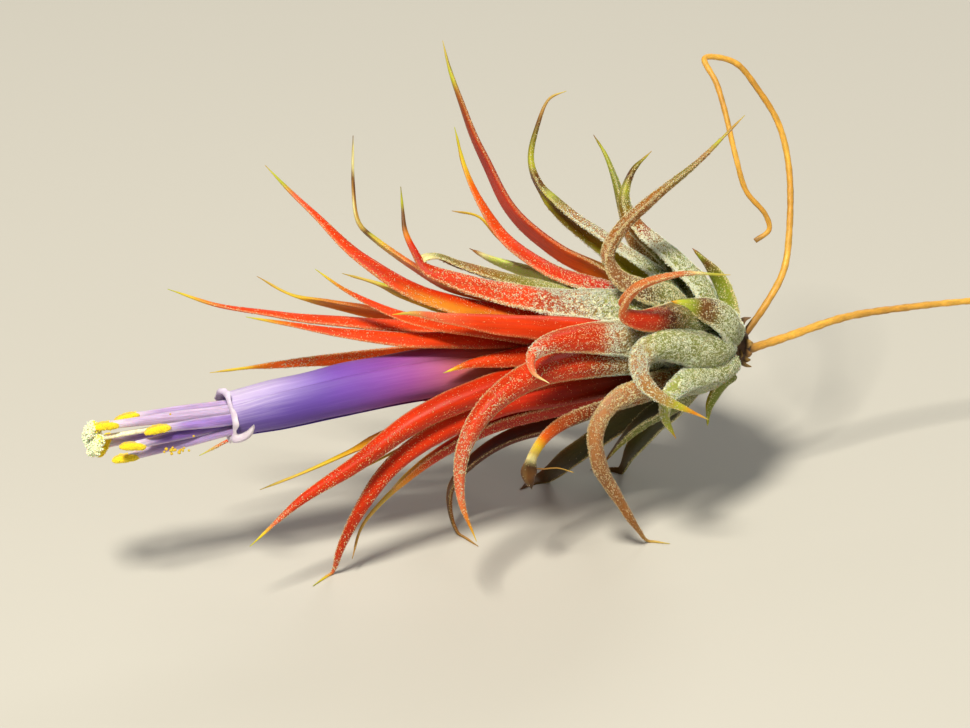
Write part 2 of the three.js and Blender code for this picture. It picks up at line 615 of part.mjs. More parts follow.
function pieces() {
  return [
    { name: "stem", material: "stem", solid: stemSolid },
    { name: "pistil", material: "pistil", solid: pistilSolid },
    { name: "filaments", material: "filament", solid: filamentsSolid },
    ...ANTHERS.map((anther, i) => ({
      name: `anther_${i + 1}`, material: "anther", solid: (grow) => antherSolid(anther, grow),
    })),
    ...Array.from({ length: PETALS }, (_, i) => ({
      name: `petal_${i + 1}`, material: "petal", solid: (grow) => petalSolid(i, grow),
    })),
    { name: "calyx", material: "calyx", solid: calyxSolid },
    ...LEAVES.map((leaf) => ({
      name: `leaf_${leaf.name}`, material: leaf.tone, solid: (grow) => leafSolid(leaf, grow),
    })),
    ...ROOTS.map((root) => ({ name: root.name, material: "root", solid: (grow) => rootSolid(root, grow) })),
  ];
}

function floorBlock() {
  const block = new THREE.BoxGeometry(300, 300, 20);
  block.translate(0, 0, FLOOR - 10);
  return toSolid(block);
}

// What a cut leaves loose is dropped: only the largest connected body stays.
function largestBody(geometry) {
  const index = geometry.index.array;
  const leader = Array.from({ length: geometry.attributes.position.count }, (_, i) => i);
  const find = (i) => {
    while (leader[i] !== i) i = leader[i];
    return i;
  };
  const bodies = new Map();
  for (let i = 0; i < index.length; i += 3) {
    leader[find(index[i])] = find(index[i + 1]);
    leader[find(index[i + 1])] = find(index[i + 2]);
  }
  for (let i = 0; i < index.length; i += 3) {
    const body = find(index[i]);
    bodies.set(body, [...(bodies.get(body) ?? []), index[i], index[i + 1], index[i + 2]]);
  }
  const [largest] = [...bodies.values()].sort((a, b) => b.length - a.length);
  const kept = geometry.clone();
  kept.setIndex(largest);
  return kept.toNonIndexed();
}

// Each piece gives way to the ones before it, which lie nearer the heart, and keeps GAP from them.
function fitted(list) {
  const taken = [];
  const floor = floorBlock();
  return list.map((piece) => {
    const whole = piece.solid(0);
    const { boundingBox } = toGeometry(whole);
    const met = taken.filter(({ box }) => box.intersectsBox(boundingBox)).map(({ solid }) => solid);
    const trimmed = [floor, ...met].reduce((rest, solid) => rest.subtract(solid), whole);
    const grown = piece.solid(GAP);
    taken.push({ solid: grown, box: toGeometry(grown).boundingBox });
    return { ...piece, geometry: largestBody(toGeometry(trimmed)) };
  });
}

function toMesh({ name, material, geometry }) {
  geometry.computeVertexNormals();
  const finish = new THREE.MeshStandardMaterial({ metalness: 0, ...MATERIALS[material] });
  const mesh = new THREE.Mesh(geometry, finish);
  mesh.name = name;
  return mesh;
}

const plant = new THREE.Group();
fitted(pieces()).forEach((piece) => plant.add(toMesh(piece)));

// The part's origin is under the middle of its bounding box, on the resting surface.
const bounds = new THREE.Box3().setFromObject(plant);
const centre = bounds.getCenter(new THREE.Vector3());
plant.position.set(-centre.x, -centre.y, -bounds.min.z);

export default plant;
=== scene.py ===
"""A flowering air plant as picked, resting on the tips of its lowest leaves.

Shapes are worked out in millimetres from the foot of the stem, as [forward, up, near] like the part's own
sketch, and are turned into the part's frame at the end. Everything random is seeded.
"""

import math

import bpy
import numpy as np
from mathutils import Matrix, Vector


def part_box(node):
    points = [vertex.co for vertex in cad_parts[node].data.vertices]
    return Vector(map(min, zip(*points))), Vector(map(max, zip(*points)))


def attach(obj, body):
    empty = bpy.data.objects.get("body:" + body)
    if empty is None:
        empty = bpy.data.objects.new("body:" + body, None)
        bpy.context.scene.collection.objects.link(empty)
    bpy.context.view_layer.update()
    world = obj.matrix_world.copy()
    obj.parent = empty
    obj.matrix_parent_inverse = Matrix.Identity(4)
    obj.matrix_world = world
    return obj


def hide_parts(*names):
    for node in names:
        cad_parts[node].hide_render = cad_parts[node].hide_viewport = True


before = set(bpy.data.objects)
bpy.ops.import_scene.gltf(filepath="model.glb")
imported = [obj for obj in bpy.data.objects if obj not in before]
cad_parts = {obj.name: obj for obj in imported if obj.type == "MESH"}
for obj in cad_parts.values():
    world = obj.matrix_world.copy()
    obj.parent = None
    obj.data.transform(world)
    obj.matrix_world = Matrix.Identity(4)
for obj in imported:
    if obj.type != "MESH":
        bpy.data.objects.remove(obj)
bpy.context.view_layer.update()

# ---- Driving dimensions, millimetres and degrees, as in the part ----
LEAN = math.radians(30)
FLOOR = -22
GAP = 0.3
STEM_DIRECTION = (0.956, -0.14, 0.259)
STEM_PROFILE = [(-1.4, 1.5), (-0.6, 2.3), (3, 2.6), (8, 2.3), (13, 1.7), (17, 1.1), (21, 0.8)]
LEAF_THICK = 0.34
LEAF_CHANNEL = 0.34
TIP_EASE = 1.25
# How high a resting leaf's midline lies above the floor, and the least height of anything over it.
SEATING = 0.12
CLEARANCE = 0.02

TUBE_PATH = [
    (20.8, -3, 5.7), (27.6, -2.8, 7.4), (33.5, -3, 9.1), (44.1, -4.8, 12), (51.2, -6.4, 14), (58.6, -8, 16),
]
ANTHERS = [
    ((72.5, -9.2, 20.3), (1, -0.1, 0.3)),
    ((70.3, -8.3, 18.4), (1, -0.3, 0.2)),
    ((73, -11.4, 17), (0.45, -1, 0.3)),
    ((70.4, -12.9, 18.8), (1, -0.15, 0.3)),
    ((69.4, -11.5, 21), (1, 0, 0.4)),
    ((66.6, -9.6, 20.6), (1, -0.22, 0.2)),
]
STIGMA = (74.2, -10.8, 19.9)
OVARY_STATION = 21.4

ROOTS = {
    "root_loop": (0.43, [
        (-0.9, 1.0, 0), (-3.6, 4.5, 0), (-5.9, 8.7, -1), (-6.4, 13.6, -2), (-6.4, 21.1, -3), (-5.2, 26, -3),
        (-2.7, 30.2, -2), (-0.2, 33.2, -1), (2.2, 34, 0.5), (3.5, 33.4, 1.5), (2.5, 30.9, 2.5),
        (1.3, 27.2, 3.5), (0.2, 22.2, 4), (-1.2, 18.1, 4), (-3.2, 15.5, 3.5), (-3.8, 13.4, 3),
        (-2.2, 12.2, 3)]),
    "root_trailing": (0.52, [
        (-1.2, -0.6, 0), (-6.1, 0.9, -2), (-13.5, 3.4, -5), (-21.1, 4.7, -8), (-27.6, 5.4, -10),
        (-32, 5.6, -11)]),
}

# name: station on the stem, width, slot, coat, share of the length where the dry thread starts, and midline
# as forward, up and near of each point
LEAVES = {
    "bract": (17, 3.1, "red", "flame", 0.97, "22.4 -0.9 10.1, 27.6 -1.6 12.2, 31.2 -2.2 13.3, 34.1 -3.2 14"),
    "lance_lower": (16.5, 2.6, "red", "flame", 0.97,
        "25.3 0.7 8.8, 32.4 0.6 11.2, 38.2 0.6 13, 45.3 1.3 14.5, 51.2 2.2 15.5, 56.7 3.2 16.5"),
    "lance_upper": (16, 2.6, "red", "flame", 0.97,
        "27.6 1.9 7.5, 35.9 1.8 9.5, 44.1 2.4 11, 52.4 3.2 12, 60 4.5 13, 65.8 6.4 14"),
    "amber_long": (15.5, 2, "orange", "amber", 0.85,
        "24 2.2 3.6, 30 2 3.2, 35.9 2.5 2.6, 41.8 3.8 1.5, 47.6 4.9 0.5, 52.4 6 0, 56.2 8.1 -0.5"),
    "behind_flower_upper": (15, 2.2, "red", "flame_gold", 0.88,
        "24 -0.2 2.4, 31.2 -0.6 2.2, 38.2 -0.9 2.6, 45.3 -1.4 3.2, 52.4 -2.1 3.6, 61.5 -3.2 4"),
    "behind_flower_lower": (14.8, 2.2, "red", "flame_frosted", 0.97,
        "23 -3 2, 30 -3.4 1.6, 39.4 -4.9 1.4, 48.8 -7.1 1.6, 57.1 -10 2, 62.8 -12.9 2.5"),
    "fan_amber": (14.5, 2.2, "orange", "fan_amber", 0.72,
        "23 -6.2 3.8, 27.6 -7 4.8, 34.7 -8.6 6.4, 40.6 -10.4 7.5, 45.3 -12.5 7.8, 50 -14.6 7.8, "
        "55.5 -16.8 7.5"),
    "green_thread": (14, 1.9, "orange", "lime", 0.85,
        "24 3.9 3, 30 4 3, 34.7 4.8 2.9, 38.8 6 2.5, 42.4 7.4 2, 46.1 8.4 1.5"),
    "spear_inner": (14, 2.5, "red", "flame", 0.96,
        "21.8 0.8 9, 30 1.9 12.6, 35.9 2.6 14.6, 40.8 4 15.5, 45.1 6.1 16, 48.8 8.6 16.5"),
    "fan_upper": (13.5, 3.3, "red", "fan", 0.93,
        "19 -2.8 9, 25.3 -3.9 11.4, 32.4 -6.4 13.2, 38.2 -9.3 14, 44.1 -13.6 14, 50.6 -18 14, "
        "56.4 -23.1 14"),
    "back_forward": (13, 2.8, "red", "back_red", 0.92,
        "20 -2.6 0.8, 25 -4.6 -3, 31 -5.8 -7.5, 36 -6.2 -11.5, 40 -6.2 -15.5"),
    "fan_sliver": (13, 1.8, "orange", "lime", 0.9,
        "21 -6.6 2, 30 -8.8 3, 34.7 -10.2 3.2, 39.4 -12.2 3, 44 -14.6 2.6"),
    "long_arch": (12.5, 3.3, "red", "arch", 0.96,
        "18 2.7 7.6, 24.1 3.4 9.2, 31.2 4.2 11, 37.6 6.2 12.5, 43.5 9.8 13, 49.4 15.3 13, 54.7 20.6 12.5"),
    "fan_middle": (12.5, 3.1, "red", "fan", 0.93,
        "18.5 -5.4 7.6, 27.6 -7.2 10, 33.5 -9.6 10.8, 38.8 -13 10.6, 43.5 -18.6 8.6, 46.2 -23.6 5.4, "
        "47.4 -26.8 2.6, 49.4 -28.2 4.8"),
    "kinked": (12, 2.6, "orange", "kinked", 0.735,
        "20 3.6 4.2, 27.6 5.3 4.8, 33.5 6.7 5, 38.2 9.4 5, 42.2 12.3 5, 43.9 13.8 5, 44.5 15.2 5, "
        "44.8 18.8 5, 44.8 24.4 5"),
    "fan_lower": (11.5, 2.8, "red", "fan_dry", 0.76,
        "17.4 -6.4 4.4, 27.6 -9 6.4, 32.9 -11.4 6.8, 37.6 -14.6 6.6, 41.8 -18.6 6, 43.9 -21.4 5, "
        "44.9 -24.9 4"),
    "curled_down": (11, 3.7, "red", "curled", 0.95,
        "13.5 1.2 9, 19.4 1.9 12, 26.5 2.4 15.4, 33.5 3 18.5, 37.6 3.6 20.5, 39.8 3.4 22"),
    "back_thread": (11, 1.8, "orange", "amber", 0.6,
        "16 4.4 -2, 19.4 7 -4.2, 24.1 10 -6.4, 28 13.2 -8, 30.2 15.4 -9, 33.3 16.1 -10"),
    "back_upper": (10.5, 3, "red", "back_red", 0.93,
        "15 2 -2.6, 20 2.8 -7.2, 26 4 -12, 31 5 -16, 34.5 5.6 -20.5"),
    "green_short": (10.5, 2.4, "green", "fresh", 0.95,
        "15.6 5.4 2.4, 20 7 1.6, 25 8.8 0.2, 28.4 10.1 -1, 31.2 11.4 -2"),
    "olive_channel": (10.5, 2.6, "green", "olive", 0.95,
        "15.6 4.6 4.6, 20.6 6.2 6.4, 27.6 7.8 8.6, 32.4 9.2 10.4, 35 10.2 11.6, 36.5 10 12.6, 36.9 9 13.2"),
    "swept_up": (10, 3.4, "red", "swept", 0.92,
        "14 5.6 6.2, 18 7 5.4, 22.4 8.8 4.2, 26.5 11.8 3, 30 16.5 2.4, 31.9 21.2 2, 33 25.5 2"),
    "back_middle": (9.5, 3, "green", "back_green", 0.9,
        "13 -0.4 -3.6, 18 -1 -8.5, 24 -2 -13.5, 29 -3.4 -18, 32 -5.4 -22.5"),
    "broad_kinked": (9, 4.2, "red", "broad", 0.77,
        "13 4.5 8.4, 20.6 5 10, 27.6 6.1 11.6, 33.5 7.7 12.6, 36.4 8.9 12.8, 37.5 10.6 12.8, "
        "38.6 13 12.6, 38.9 15.6 12.2, 39.1 18.2 12"),
    "front_drop": (8.5, 3.6, "red", "drop", 0.95,
        "11.2 -1 9.4, 17.3 -1.8 13.4, 22.4 -2.9 16.4, 26.4 -4.9 18.6, 29.8 -8 19.8, 32 -12.6 19.6, "
        "32.1 -17.6 18.4, 30.4 -22.4 17"),
    "shaded_drop": (8, 2.8, "bronze", "maroon", 0.9,
        "13.5 -6.2 1.4, 20.6 -9 0.2, 27.1 -11.2 -1, 31.2 -14 -2, 33.5 -17 -3, 33.4 -20.6 -4.2, "
        "32.2 -22.8 -4.8, 30.2 -23.8 -2.8"),
    "tall": (8, 3.9, "red", "tall", 0.93,
        "12.4 6.6 1.2, 15.9 8.6 0, 20.6 11 -1.2, 25.3 14.8 -2, 29.4 21.8 -3, 32.4 29.1 -4, 34.4 36.1 -5"),
    "curled_hook": (7, 4.4, "red", "hook", 0.94,
        "8.8 1.2 9, 13.5 1 13, 18.8 0.8 17, 22.4 0 20, 24.1 -1.4 22, 23.9 -3.2 23, 22.2 -4.4 23.4"),
    "amber_tipped": (7, 3.6, "bronze", "amber_tipped", 0.92,
        "9.6 -5.4 6, 15.1 -7.2 8.6, 19.4 -8.6 10.4, 22.1 -10.4 11.6, 23.8 -12.8 12, 24.4 -14.8 11.8, "
        "24 -16.6 11.4"),
    "prop_forward": (6.5, 3.2, "bronze", "shade", 0.95,
        "9.5 -6.4 -3, 15 -10.6 -7.8, 19.4 -13.8 -12, 22.2 -15.8 -15.8, 23.4 -16.4 -15.6, 25.2 -17.4 -13.9"),
    "swan_neck": (6, 3.9, "green", "swan", 0.62,
        "9.2 7.2 1.6, 14.7 11.4 0.2, 19.6 15.2 -1, 22.9 18.5 -2, 24 21.8 -2.4, 23.3 26 -2.8, "
        "21.8 29.1 -3, 19.8 30 -3"),
    "under_green": (5.5, 3.2, "green", "shade", 0.97,
        "7 -6.4 1.2, 10.6 -8.8 -1, 13.5 -11.6 -3.4, 15.2 -13.8 -5.6"),
    "recurved_tall": (5.5, 3.3, "bronze", "recurved", 0.9,
        "8.2 5.6 6.4, 11.4 6.6 9.8, 14.4 8 12.4, 15.4 10.2 14, 13.8 13.3 14.8, 10 16.9 14.8, "
        "4.7 21.3 13.4, -0.6 26.5 11"),
    "back_low": (5, 3.4, "green", "back_green", 0.92,
        "6.5 -3.6 -6.2, 9.6 -5.4 -11.4, 11.4 -7.4 -16.6, 10.6 -9.6 -21.5"),
    "prop_rear": (4.5, 3.4, "green", "shade", 0.95,
        "6 -5.8 -4, 9.2 -9.4 -9, 11.8 -12.8 -13.6, 13 -15.2 -17.2, 14.2 -15.8 -18.2, 16.6 -15.8 -18.2"),
    "green_back_upright": (4.5, 3.1, "green", "upright", 0.93,
        "5.9 7 -0.6, 9.4 10 -2, 11.9 13 -4, 13 16.6 -6, 13.9 19.8 -7, 15 22.6 -7.8, 16.4 25.1 -8.5"),
    "trailing_bow": (4, 3, "bronze", "trailing", 0.93,
        "7.4 -4.4 7, 11.2 -5.2 9.6, 14.7 -7 11, 16.4 -10 11, 16.1 -13.5 8.6, 13.8 -17.9 4, "
        "11.4 -21.6 -0.6, 10 -23.2 -3.6, 7.6 -23.7 -3.4"),
    "looped_front": (4, 3.9, "red", "looped", 0.93,
        "5.6 3.2 8.4, 8.2 3.2 12.2, 11.4 2.9 16, 13.8 4 18.8, 12.1 6.5 20.6, 7.4 8 20.6, 1.5 8 18.8"),
    "hooked_back": (3.5, 4.2, "green", "hooked", 0.9,
        "4.7 6.6 3, 6.8 9 4, 9.4 11.4 4.6, 11.9 13.8 5, 13.3 16.8 5.4, 12.4 20.1 5.4, 10 22.6 5"),
    "basal_hook": (3, 4.4, "silver", "basal", 0.9,
        "3.6 -0.6 8, 6.5 0.1 11.8, 9.4 0 14.6, 11.4 -1.5 16.6, 11.4 -3.6 17.4, 9.4 -5.8 17, 3.8 -8.6 14.6"),
    "back_curl": (3, 3.6, "green", "back_green", 0.92,
        "4 2.6 -6.8, 7 3.6 -12.4, 7.4 3.6 -18.4, 4.2 2.4 -23.4"),
    "basal_low": (2.5, 4.4, "silver", "basal_low", 0.95,
        "3.2 -3.4 6.4, 5.2 -4 9.4, 7 -5 11.6, 8.4 -6.4 12.6, 8.6 -8.4 12.4, 7.4 -10.8 11.2"),
    "basal_point": (2, 4.4, "silver", "basal_point", 0.95, "1.6 3 6.6, 3 4 8.6, 5.2 4.5 9.8, 7.9 5 10.4"),
    "basal_stub": (1.6, 2.4, "green", "stub", 1, "2.4 -5.4 2, 3.2 -7.2 2.2, 3.3 -9.4 2"),
    "basal_fold": (1.2, 3.6, "green", "basal_fold", 0.95, "1 5 1.6, 1.5 7 2.4, 2.8 9 3, 5.1 11.3 3.4"),
}

# ---- Colours, sRGB ----
TONES = {
    "sage": "71782e", "sage_pale": "858c42", "moss": "666f1e", "green": "7f8c26", "lime": "a9ae2c",
    # The shade tone is painted shade: the dark olive of leaves lying low under the rosette.
    "olive": "77701a", "olive_dark": "48450f", "shade": "55531f", "leek": "a3ab52", "red": "c22c02",
    "coral": "d23a06", "crimson": "ac2006", "orange": "d45404", "amber": "cf7c14", "yellow": "d9bb2a",
    "straw": "c4aa52", "tan": "a88040", "brown": "64401c", "umber": "36220f", "rust": "9c3e0c",
    # The glow tone is painted light: light shining through a thin blade, on leaf faces that lie in shade.
    "maroon": "58200c", "bronze": "955c1e", "rose": "cf6440", "cream": "e0d898", "glow": "f25e0a",
    # The pale green tone is the short leaf's own yellow-green made brighter, partly painted light where its
    # neighbours shade it.
    "apricot": "c46a34", "fawn": "a06a3c", "pale_green": "d2ea62",
}

# How much fuller than the solid a blade is, the share of its length that stays broad, how steadily it
# narrows from there, and how far its dry end shrinks.
BUILD = {
    "broad_kinked": (1.1, 0.3, 1.3, 0.4), "kinked": (1.12, 0.25, 1.3, 0.2),
    "olive_channel": (0.95, 0.93, 1.9, 0), "amber_tipped": (0.62, 0.86, 3.2, 0),
    "green_short": (1.55, 0.5, 1.8, 0.1), "swept_up": (1.08, 0.3, 1.3, 0.2),
    "swan_neck": (1.08, 0.3, 1.15, 0.55), "recurved_tall": (0.98, 0.26, 1.1, 0.2),
    "tall": (0.9, 0.36, 1.4, 0.2), "long_arch": (1.12, 0.34, 1.45, 0.2),
    "lance_upper": (1.2, 0.36, 1.5, 0.2), "lance_lower": (1.2, 0.36, 1.5, 0.2),
    "spear_inner": (1.1, 0.34, 1.5, 0.2),
    "behind_flower_upper": (1.2, 0.4, 1.4, 0.3), "fan_upper": (0.96, 0.36, 1.5, 0.3),
    "fan_middle": (1.12, 0.36, 1.5, 0.3), "fan_lower": (1.12, 0.4, 1.4, 0.5),
    "fan_amber": (1.15, 0.3, 1.3, 0.4), "basal_fold": (0.92, 0.45, 1.5, 0),
    "basal_point": (1.05, 0.45, 1.4, 0.1), "basal_hook": (0.95, 0.34, 1.2, 0.2),
    "basal_low": (0.95, 0.4, 1.2, 0.1), "looped_front": (0.92, 0.24, 1, 0.2),
    "green_thread": (1.55, 0.55, 1.5, 0.5), "amber_long": (1.4, 0.5, 1.4, 0.5),
    "prop_forward": (0.95, 0.7, 1.8, 0), "trailing_bow": (0.9, 0.3, 1.3, 0.2),
    "front_drop": (1, 0.36, 1.4, 0.2),
}
USUAL_BUILD = (1.08, 0.3, 1.45, 0.3)
# Leaves that are flatter across than the usual channel, by share.
FLATTER = {"tall": 0.3, "kinked": 0.5, "green_short": 0.4}
# Leaves whose dry end is crumpled into a thicker lump: where it starts, and how much thicker it gets.
CRUMPLED = {"amber_tipped": (0.855, 2.2)}
# Leaves whose lower margin has a colour of its own: where it starts across the blade, how far along it goes,
# and its tone.
BELLIES = {"long_arch": (0.4, 0.5, "amber"), "kinked": (0.7, 0.5, "yellow")}

# Each coat: tones of the outer face and of the inner one by share of the leaf's length, and how thick the
# down lies. Without tones of its own the inner face is coloured and covered like the outer one.
COATS = {
    "flame": ("0:amber 0.18:red 0.5:coral 0.86:coral 0.92:amber 0.96:yellow 1:lime",
        "0:orange 0.3:coral 0.88:coral 0.94:yellow 1:lime", "0:0.25 0.4:0.38 0.9:0.5 1:0.1"),
    "flame_frosted": ("0:amber 0.18:red 0.5:coral 0.94:coral 0.97:straw 1:lime", None,
        "0:0.2 0.6:0.4 0.85:0.75 0.97:0.75 1:0.2"),
    "flame_gold": ("0:amber 0.18:coral 0.5:glow 0.83:glow 0.88:amber 0.92:yellow 1:straw", None,
        "0:0.15 0.4:0.25 0.6:0.55 0.84:0.65 0.92:0.2 1:0"),
    "fan": ("0:rust 0.2:crimson 0.5:red 0.86:red 0.93:rose 0.96:yellow 1:lime",
        "0:crimson 0.5:red 0.88:coral 1:lime", "0:0.35 0.4:0.32 0.7:0.5 0.93:0.65 0.97:0.2 1:0"),
    "fan_dry": ("0:rust 0.2:crimson 0.55:crimson 0.64:red 0.72:amber 0.8:straw 1:tan",
        "0:crimson 0.6:crimson 0.75:yellow 1:tan", "0:0.35 0.5:0.6 0.7:0.5 0.8:0.15 1:0"),
    "fan_amber": ("0:rust 0.2:coral 0.55:orange 0.7:amber 0.8:yellow 0.9:tan 1:straw",
        "0:coral 0.6:orange 0.8:yellow 1:straw", "0:0.2 0.6:0.2 0.75:0.05 1:0"),
    "amber": ("0:rust 0.25:coral 0.66:orange 0.8:amber 0.86:yellow 0.95:straw 1:tan",
        "0:orange 0.6:orange 0.8:amber 0.88:yellow 1:tan", "0:0.2 0.5:0.35 0.8:0.3 1:0"),
    "lime": ("0:olive 0.3:amber 0.55:lime 0.85:lime 0.9:straw 1:straw", "0:olive 0.5:lime 1:straw",
        "0:0.2 0.5:0.35 0.8:0.25 1:0"),
    "arch": ("0:sage 0.14:rust 0.26:red 0.6:red 0.85:coral 0.91:rose 0.94:lime 0.98:lime 1:tan",
        "0:olive 0.2:amber 0.45:orange 0.7:coral 0.91:rose 0.95:lime 1:yellow",
        "0:0.8 0.25:0.5 0.6:0.5 0.88:0.5 0.94:0.15 1:0"),
    "kinked": (
        "0:olive 0.2:orange 0.45:coral 0.6:orange 0.67:amber 0.7:yellow 0.736:lime 0.745:brown 0.755:brown "
        "0.765:straw 0.82:tan 0.86:brown 0.89:brown 0.92:cream 0.98:cream 1:brown",
        "0:olive 0.3:orange 0.45:coral 0.6:orange 0.7:yellow 0.745:brown 0.765:straw 0.82:cream 0.86:tan "
        "0.9:brown 0.93:cream 1:brown", "0:0.5 0.5:0.45 0.7:0.5 0.75:0 1:0"),
    "curled": ("0:sage 0.12:rust 0.25:red 0.7:coral 0.88:rose 0.95:straw 1:yellow",
        "0:orange 0.5:coral 0.9:rose 1:straw", "0:0.7 0.3:0.3 0.7:0.3 0.9:0.5 1:0"),
    "broad": (
        "0:sage_pale 0.24:sage_pale 0.31:fawn 0.38:rust 0.47:coral 0.62:coral 0.74:red 0.79:crimson "
        "0.84:red 0.86:amber 0.89:brown 0.93:brown 0.96:lime 1:olive",
        "0:olive 0.4:orange 0.75:red 0.84:red 0.86:amber 0.89:brown 0.93:brown 0.96:lime 1:olive",
        "0:1.2 0.28:1.4 0.36:1.1 0.46:0.8 0.74:0.6 0.8:0.35 0.9:0 1:0"),
    "drop": ("0:sage 0.15:sage 0.26:rust 0.34:red 0.65:red 0.88:rose 0.95:amber 1:yellow",
        "0:olive 0.3:rust 0.6:red 0.9:rose 1:yellow",
        "0:1 0.22:0.9 0.36:0.5 0.55:0.6 0.75:0.76 0.9:0.66 0.96:0.3 1:0"),
    "hook": ("0:sage_pale 0.34:sage_pale 0.44:fawn 0.53:red 0.74:red 0.84:coral 0.92:rose 1:cream",
        "0:olive 0.4:rust 0.6:red 0.8:rose 1:cream",
        "0:1.1 0.42:1.1 0.54:0.6 0.7:0.6 0.82:0.95 0.95:0.5 1:0"),
    "swept": ("0:sage_pale 0.16:sage 0.22:crimson 0.42:red 0.6:coral 0.8:orange 0.88:yellow 1:lime",
        "0:olive 0.2:orange 0.6:orange 0.82:amber 1:lime", "0:1 0.16:1 0.3:0.75 0.45:0.5 0.8:0.4 1:0"),
    "tall": (
        "0:green 0.14:olive 0.24:bronze 0.36:red 0.6:crimson 0.8:rust 0.86:bronze 0.9:lime 0.94:olive "
        "1:straw",
        "0:green 0.1:lime 0.2:amber 0.3:glow 0.42:coral 0.54:red 0.66:crimson 0.8:rust 0.86:bronze 0.9:lime "
        "1:straw", "0:0.9 0.25:0.5 0.4:0.34 0.7:0.34 0.8:0.5 0.92:0.3 1:0"),
    "swan": (
        "0:sage_pale 0.22:sage_pale 0.32:fawn 0.5:bronze 0.57:olive 0.6:lime 0.64:brown 0.69:brown "
        "0.72:lime 0.8:olive 0.86:brown 0.9:tan 1:straw",
        "0:leek 0.24:lime 0.34:lime 0.45:olive 0.57:olive 0.6:lime 0.64:brown 0.69:brown 0.72:lime "
        "0.8:olive 0.86:brown 0.9:tan 1:straw", "0:1 0.3:1 0.5:0.85 0.6:0.4 0.66:0.7 0.74:0.4 1:0.2"),
    "olive": ("0:sage_pale 0.3:leek 0.55:olive 0.75:bronze 0.9:olive 0.95:cream 1:cream", None,
        "0:0.9 0.3:0.85 0.55:0.7 0.9:0.62 1:0.6"),
    "fresh": ("0:sage_pale 0.25:pale_green 0.85:pale_green 0.92:cream 0.96:bronze 1:brown", None,
        "0:0.9 0.3:0.6 0.9:0.5 1:0"),
    "upright": ("0:sage 0.3:sage 0.5:bronze 0.68:olive 0.8:green 0.93:lime 1:brown", None,
        "0:0.9 0.5:0.65 0.9:0.4 1:0"),
    "hooked": (
        "0:sage_pale 0.4:sage_pale 0.54:rust 0.62:bronze 0.72:olive 0.78:lime 0.84:maroon 0.92:olive "
        "0.97:lime 1:tan", "0:green 0.4:moss 0.6:bronze 0.72:olive 0.78:lime 0.84:maroon 0.92:olive 1:tan",
        "0:1.1 0.46:1.15 0.6:0.8 0.9:0.45 1:0"),
    "recurved": (
        "0:sage_pale 0.18:sage 0.26:brown 0.36:fawn 0.5:bronze 0.64:bronze 0.76:olive 0.83:fawn 0.89:lime "
        "0.94:tan 1:straw", None, "0:1.1 0.2:1 0.3:0.85 0.6:0.75 0.85:0.65 0.95:0.3 1:0"),
    "looped": (
        "0:sage 0.2:sage 0.32:maroon 0.4:red 0.52:red 0.6:apricot 0.84:apricot 0.89:cream 0.93:lime 1:straw",
        None, "0:1 0.3:0.7 0.48:0.4 0.6:0.66 0.9:0.55 1:0"),
    "trailing": ("0:sage 0.12:bronze 0.3:fawn 0.5:fawn 0.8:bronze 0.92:tan 1:straw",
        "0:olive 0.3:rust 0.8:bronze 1:straw", "0:1 0.25:0.85 0.5:0.7 0.8:0.62 0.92:0.4 1:0"),
    "amber_tipped": (
        "0:sage 0.25:bronze 0.45:maroon 0.66:rust 0.76:orange 0.81:yellow 0.84:straw 0.86:cream 0.885:umber "
        "0.94:brown 1:umber", "0:olive 0.5:maroon 0.7:rust 0.79:yellow 0.86:cream 0.885:brown 1:umber",
        "0:1 0.4:0.85 0.66:0.55 0.8:0.3 0.87:0.5 0.9:0.1 1:0.2"),
    "maroon": ("0:shade 0.3:maroon 0.6:maroon 0.74:brown 0.85:bronze 1:tan",
        "0:umber 0.6:maroon 0.8:brown 1:tan", "0:0.6 0.5:0.3 0.8:0.5 1:0"),
    # Painted shade: the coat of the leaves that lie low under the rosette, dark olive on both faces.
    "shade": ("0:shade 0.5:moss 0.85:olive 1:brown", "0:shade 0.6:olive_dark 1:brown",
        "0:0.8 0.7:0.5 1:0.1"),
    "basal": ("0:sage_pale 0.5:sage_pale 0.62:fawn 0.78:tan 0.86:lime 0.93:amber 1:straw",
        "0:green 0.5:moss 0.8:tan 1:straw", "0:1 0.52:1 0.66:0.92 0.78:0.76 0.88:0.4 1:0"),
    "basal_low": ("0:sage_pale 0.6:sage_pale 0.8:leek 0.94:lime 1:amber", "0:green 0.6:moss 1:lime",
        "0:1 0.6:1 0.85:0.75 1:0"),
    "basal_point": ("0:sage_pale 0.44:sage_pale 0.6:brown 0.7:brown 0.8:green 0.92:lime 1:amber",
        "0:green 0.7:green 0.94:lime 1:amber", "0:1.1 0.5:1 0.62:0.7 0.8:0.45 0.92:0.2 1:0"),
    "stub": ("0:sage 0.8:green 1:lime", "0:green 1:lime", "0:0.7 1:0.3"),
    "basal_fold": ("0:sage 0.4:green 0.6:moss 0.78:brown 0.88:green 1:bronze",
        "0:green 0.5:green 0.72:lime 0.84:brown 0.92:olive 1:rust", "0:0.8 0.6:0.55 1:0.2"),
    "back_red": ("0:sage 0.15:rust 0.35:red 0.85:coral 0.94:amber 1:straw",
        "0:olive 0.4:orange 0.9:coral 1:straw", "0:0.9 0.3:0.5 0.9:0.4 1:0"),
    "back_green": ("0:sage_pale 0.4:sage 0.7:green 0.92:lime 1:tan", "0:green 0.6:green 1:tan",
        "0:1 0.5:0.8 0.9:0.4 1:0"),
}

# Where each kind of piece starts its random draws.
SEEDS = {
    "leaf": 700, "down": 50, "petal": 30, "pollen": 23, "anther": 90, "pistil": 17, "stem": 5, "root": 60,
}
# Steps of a curve between two of its knots, and patches along each side of the clumps' grid.
SPLINE_STEPS = 60
CLUMP_GRID = 61

# ---- Frames and curves ----


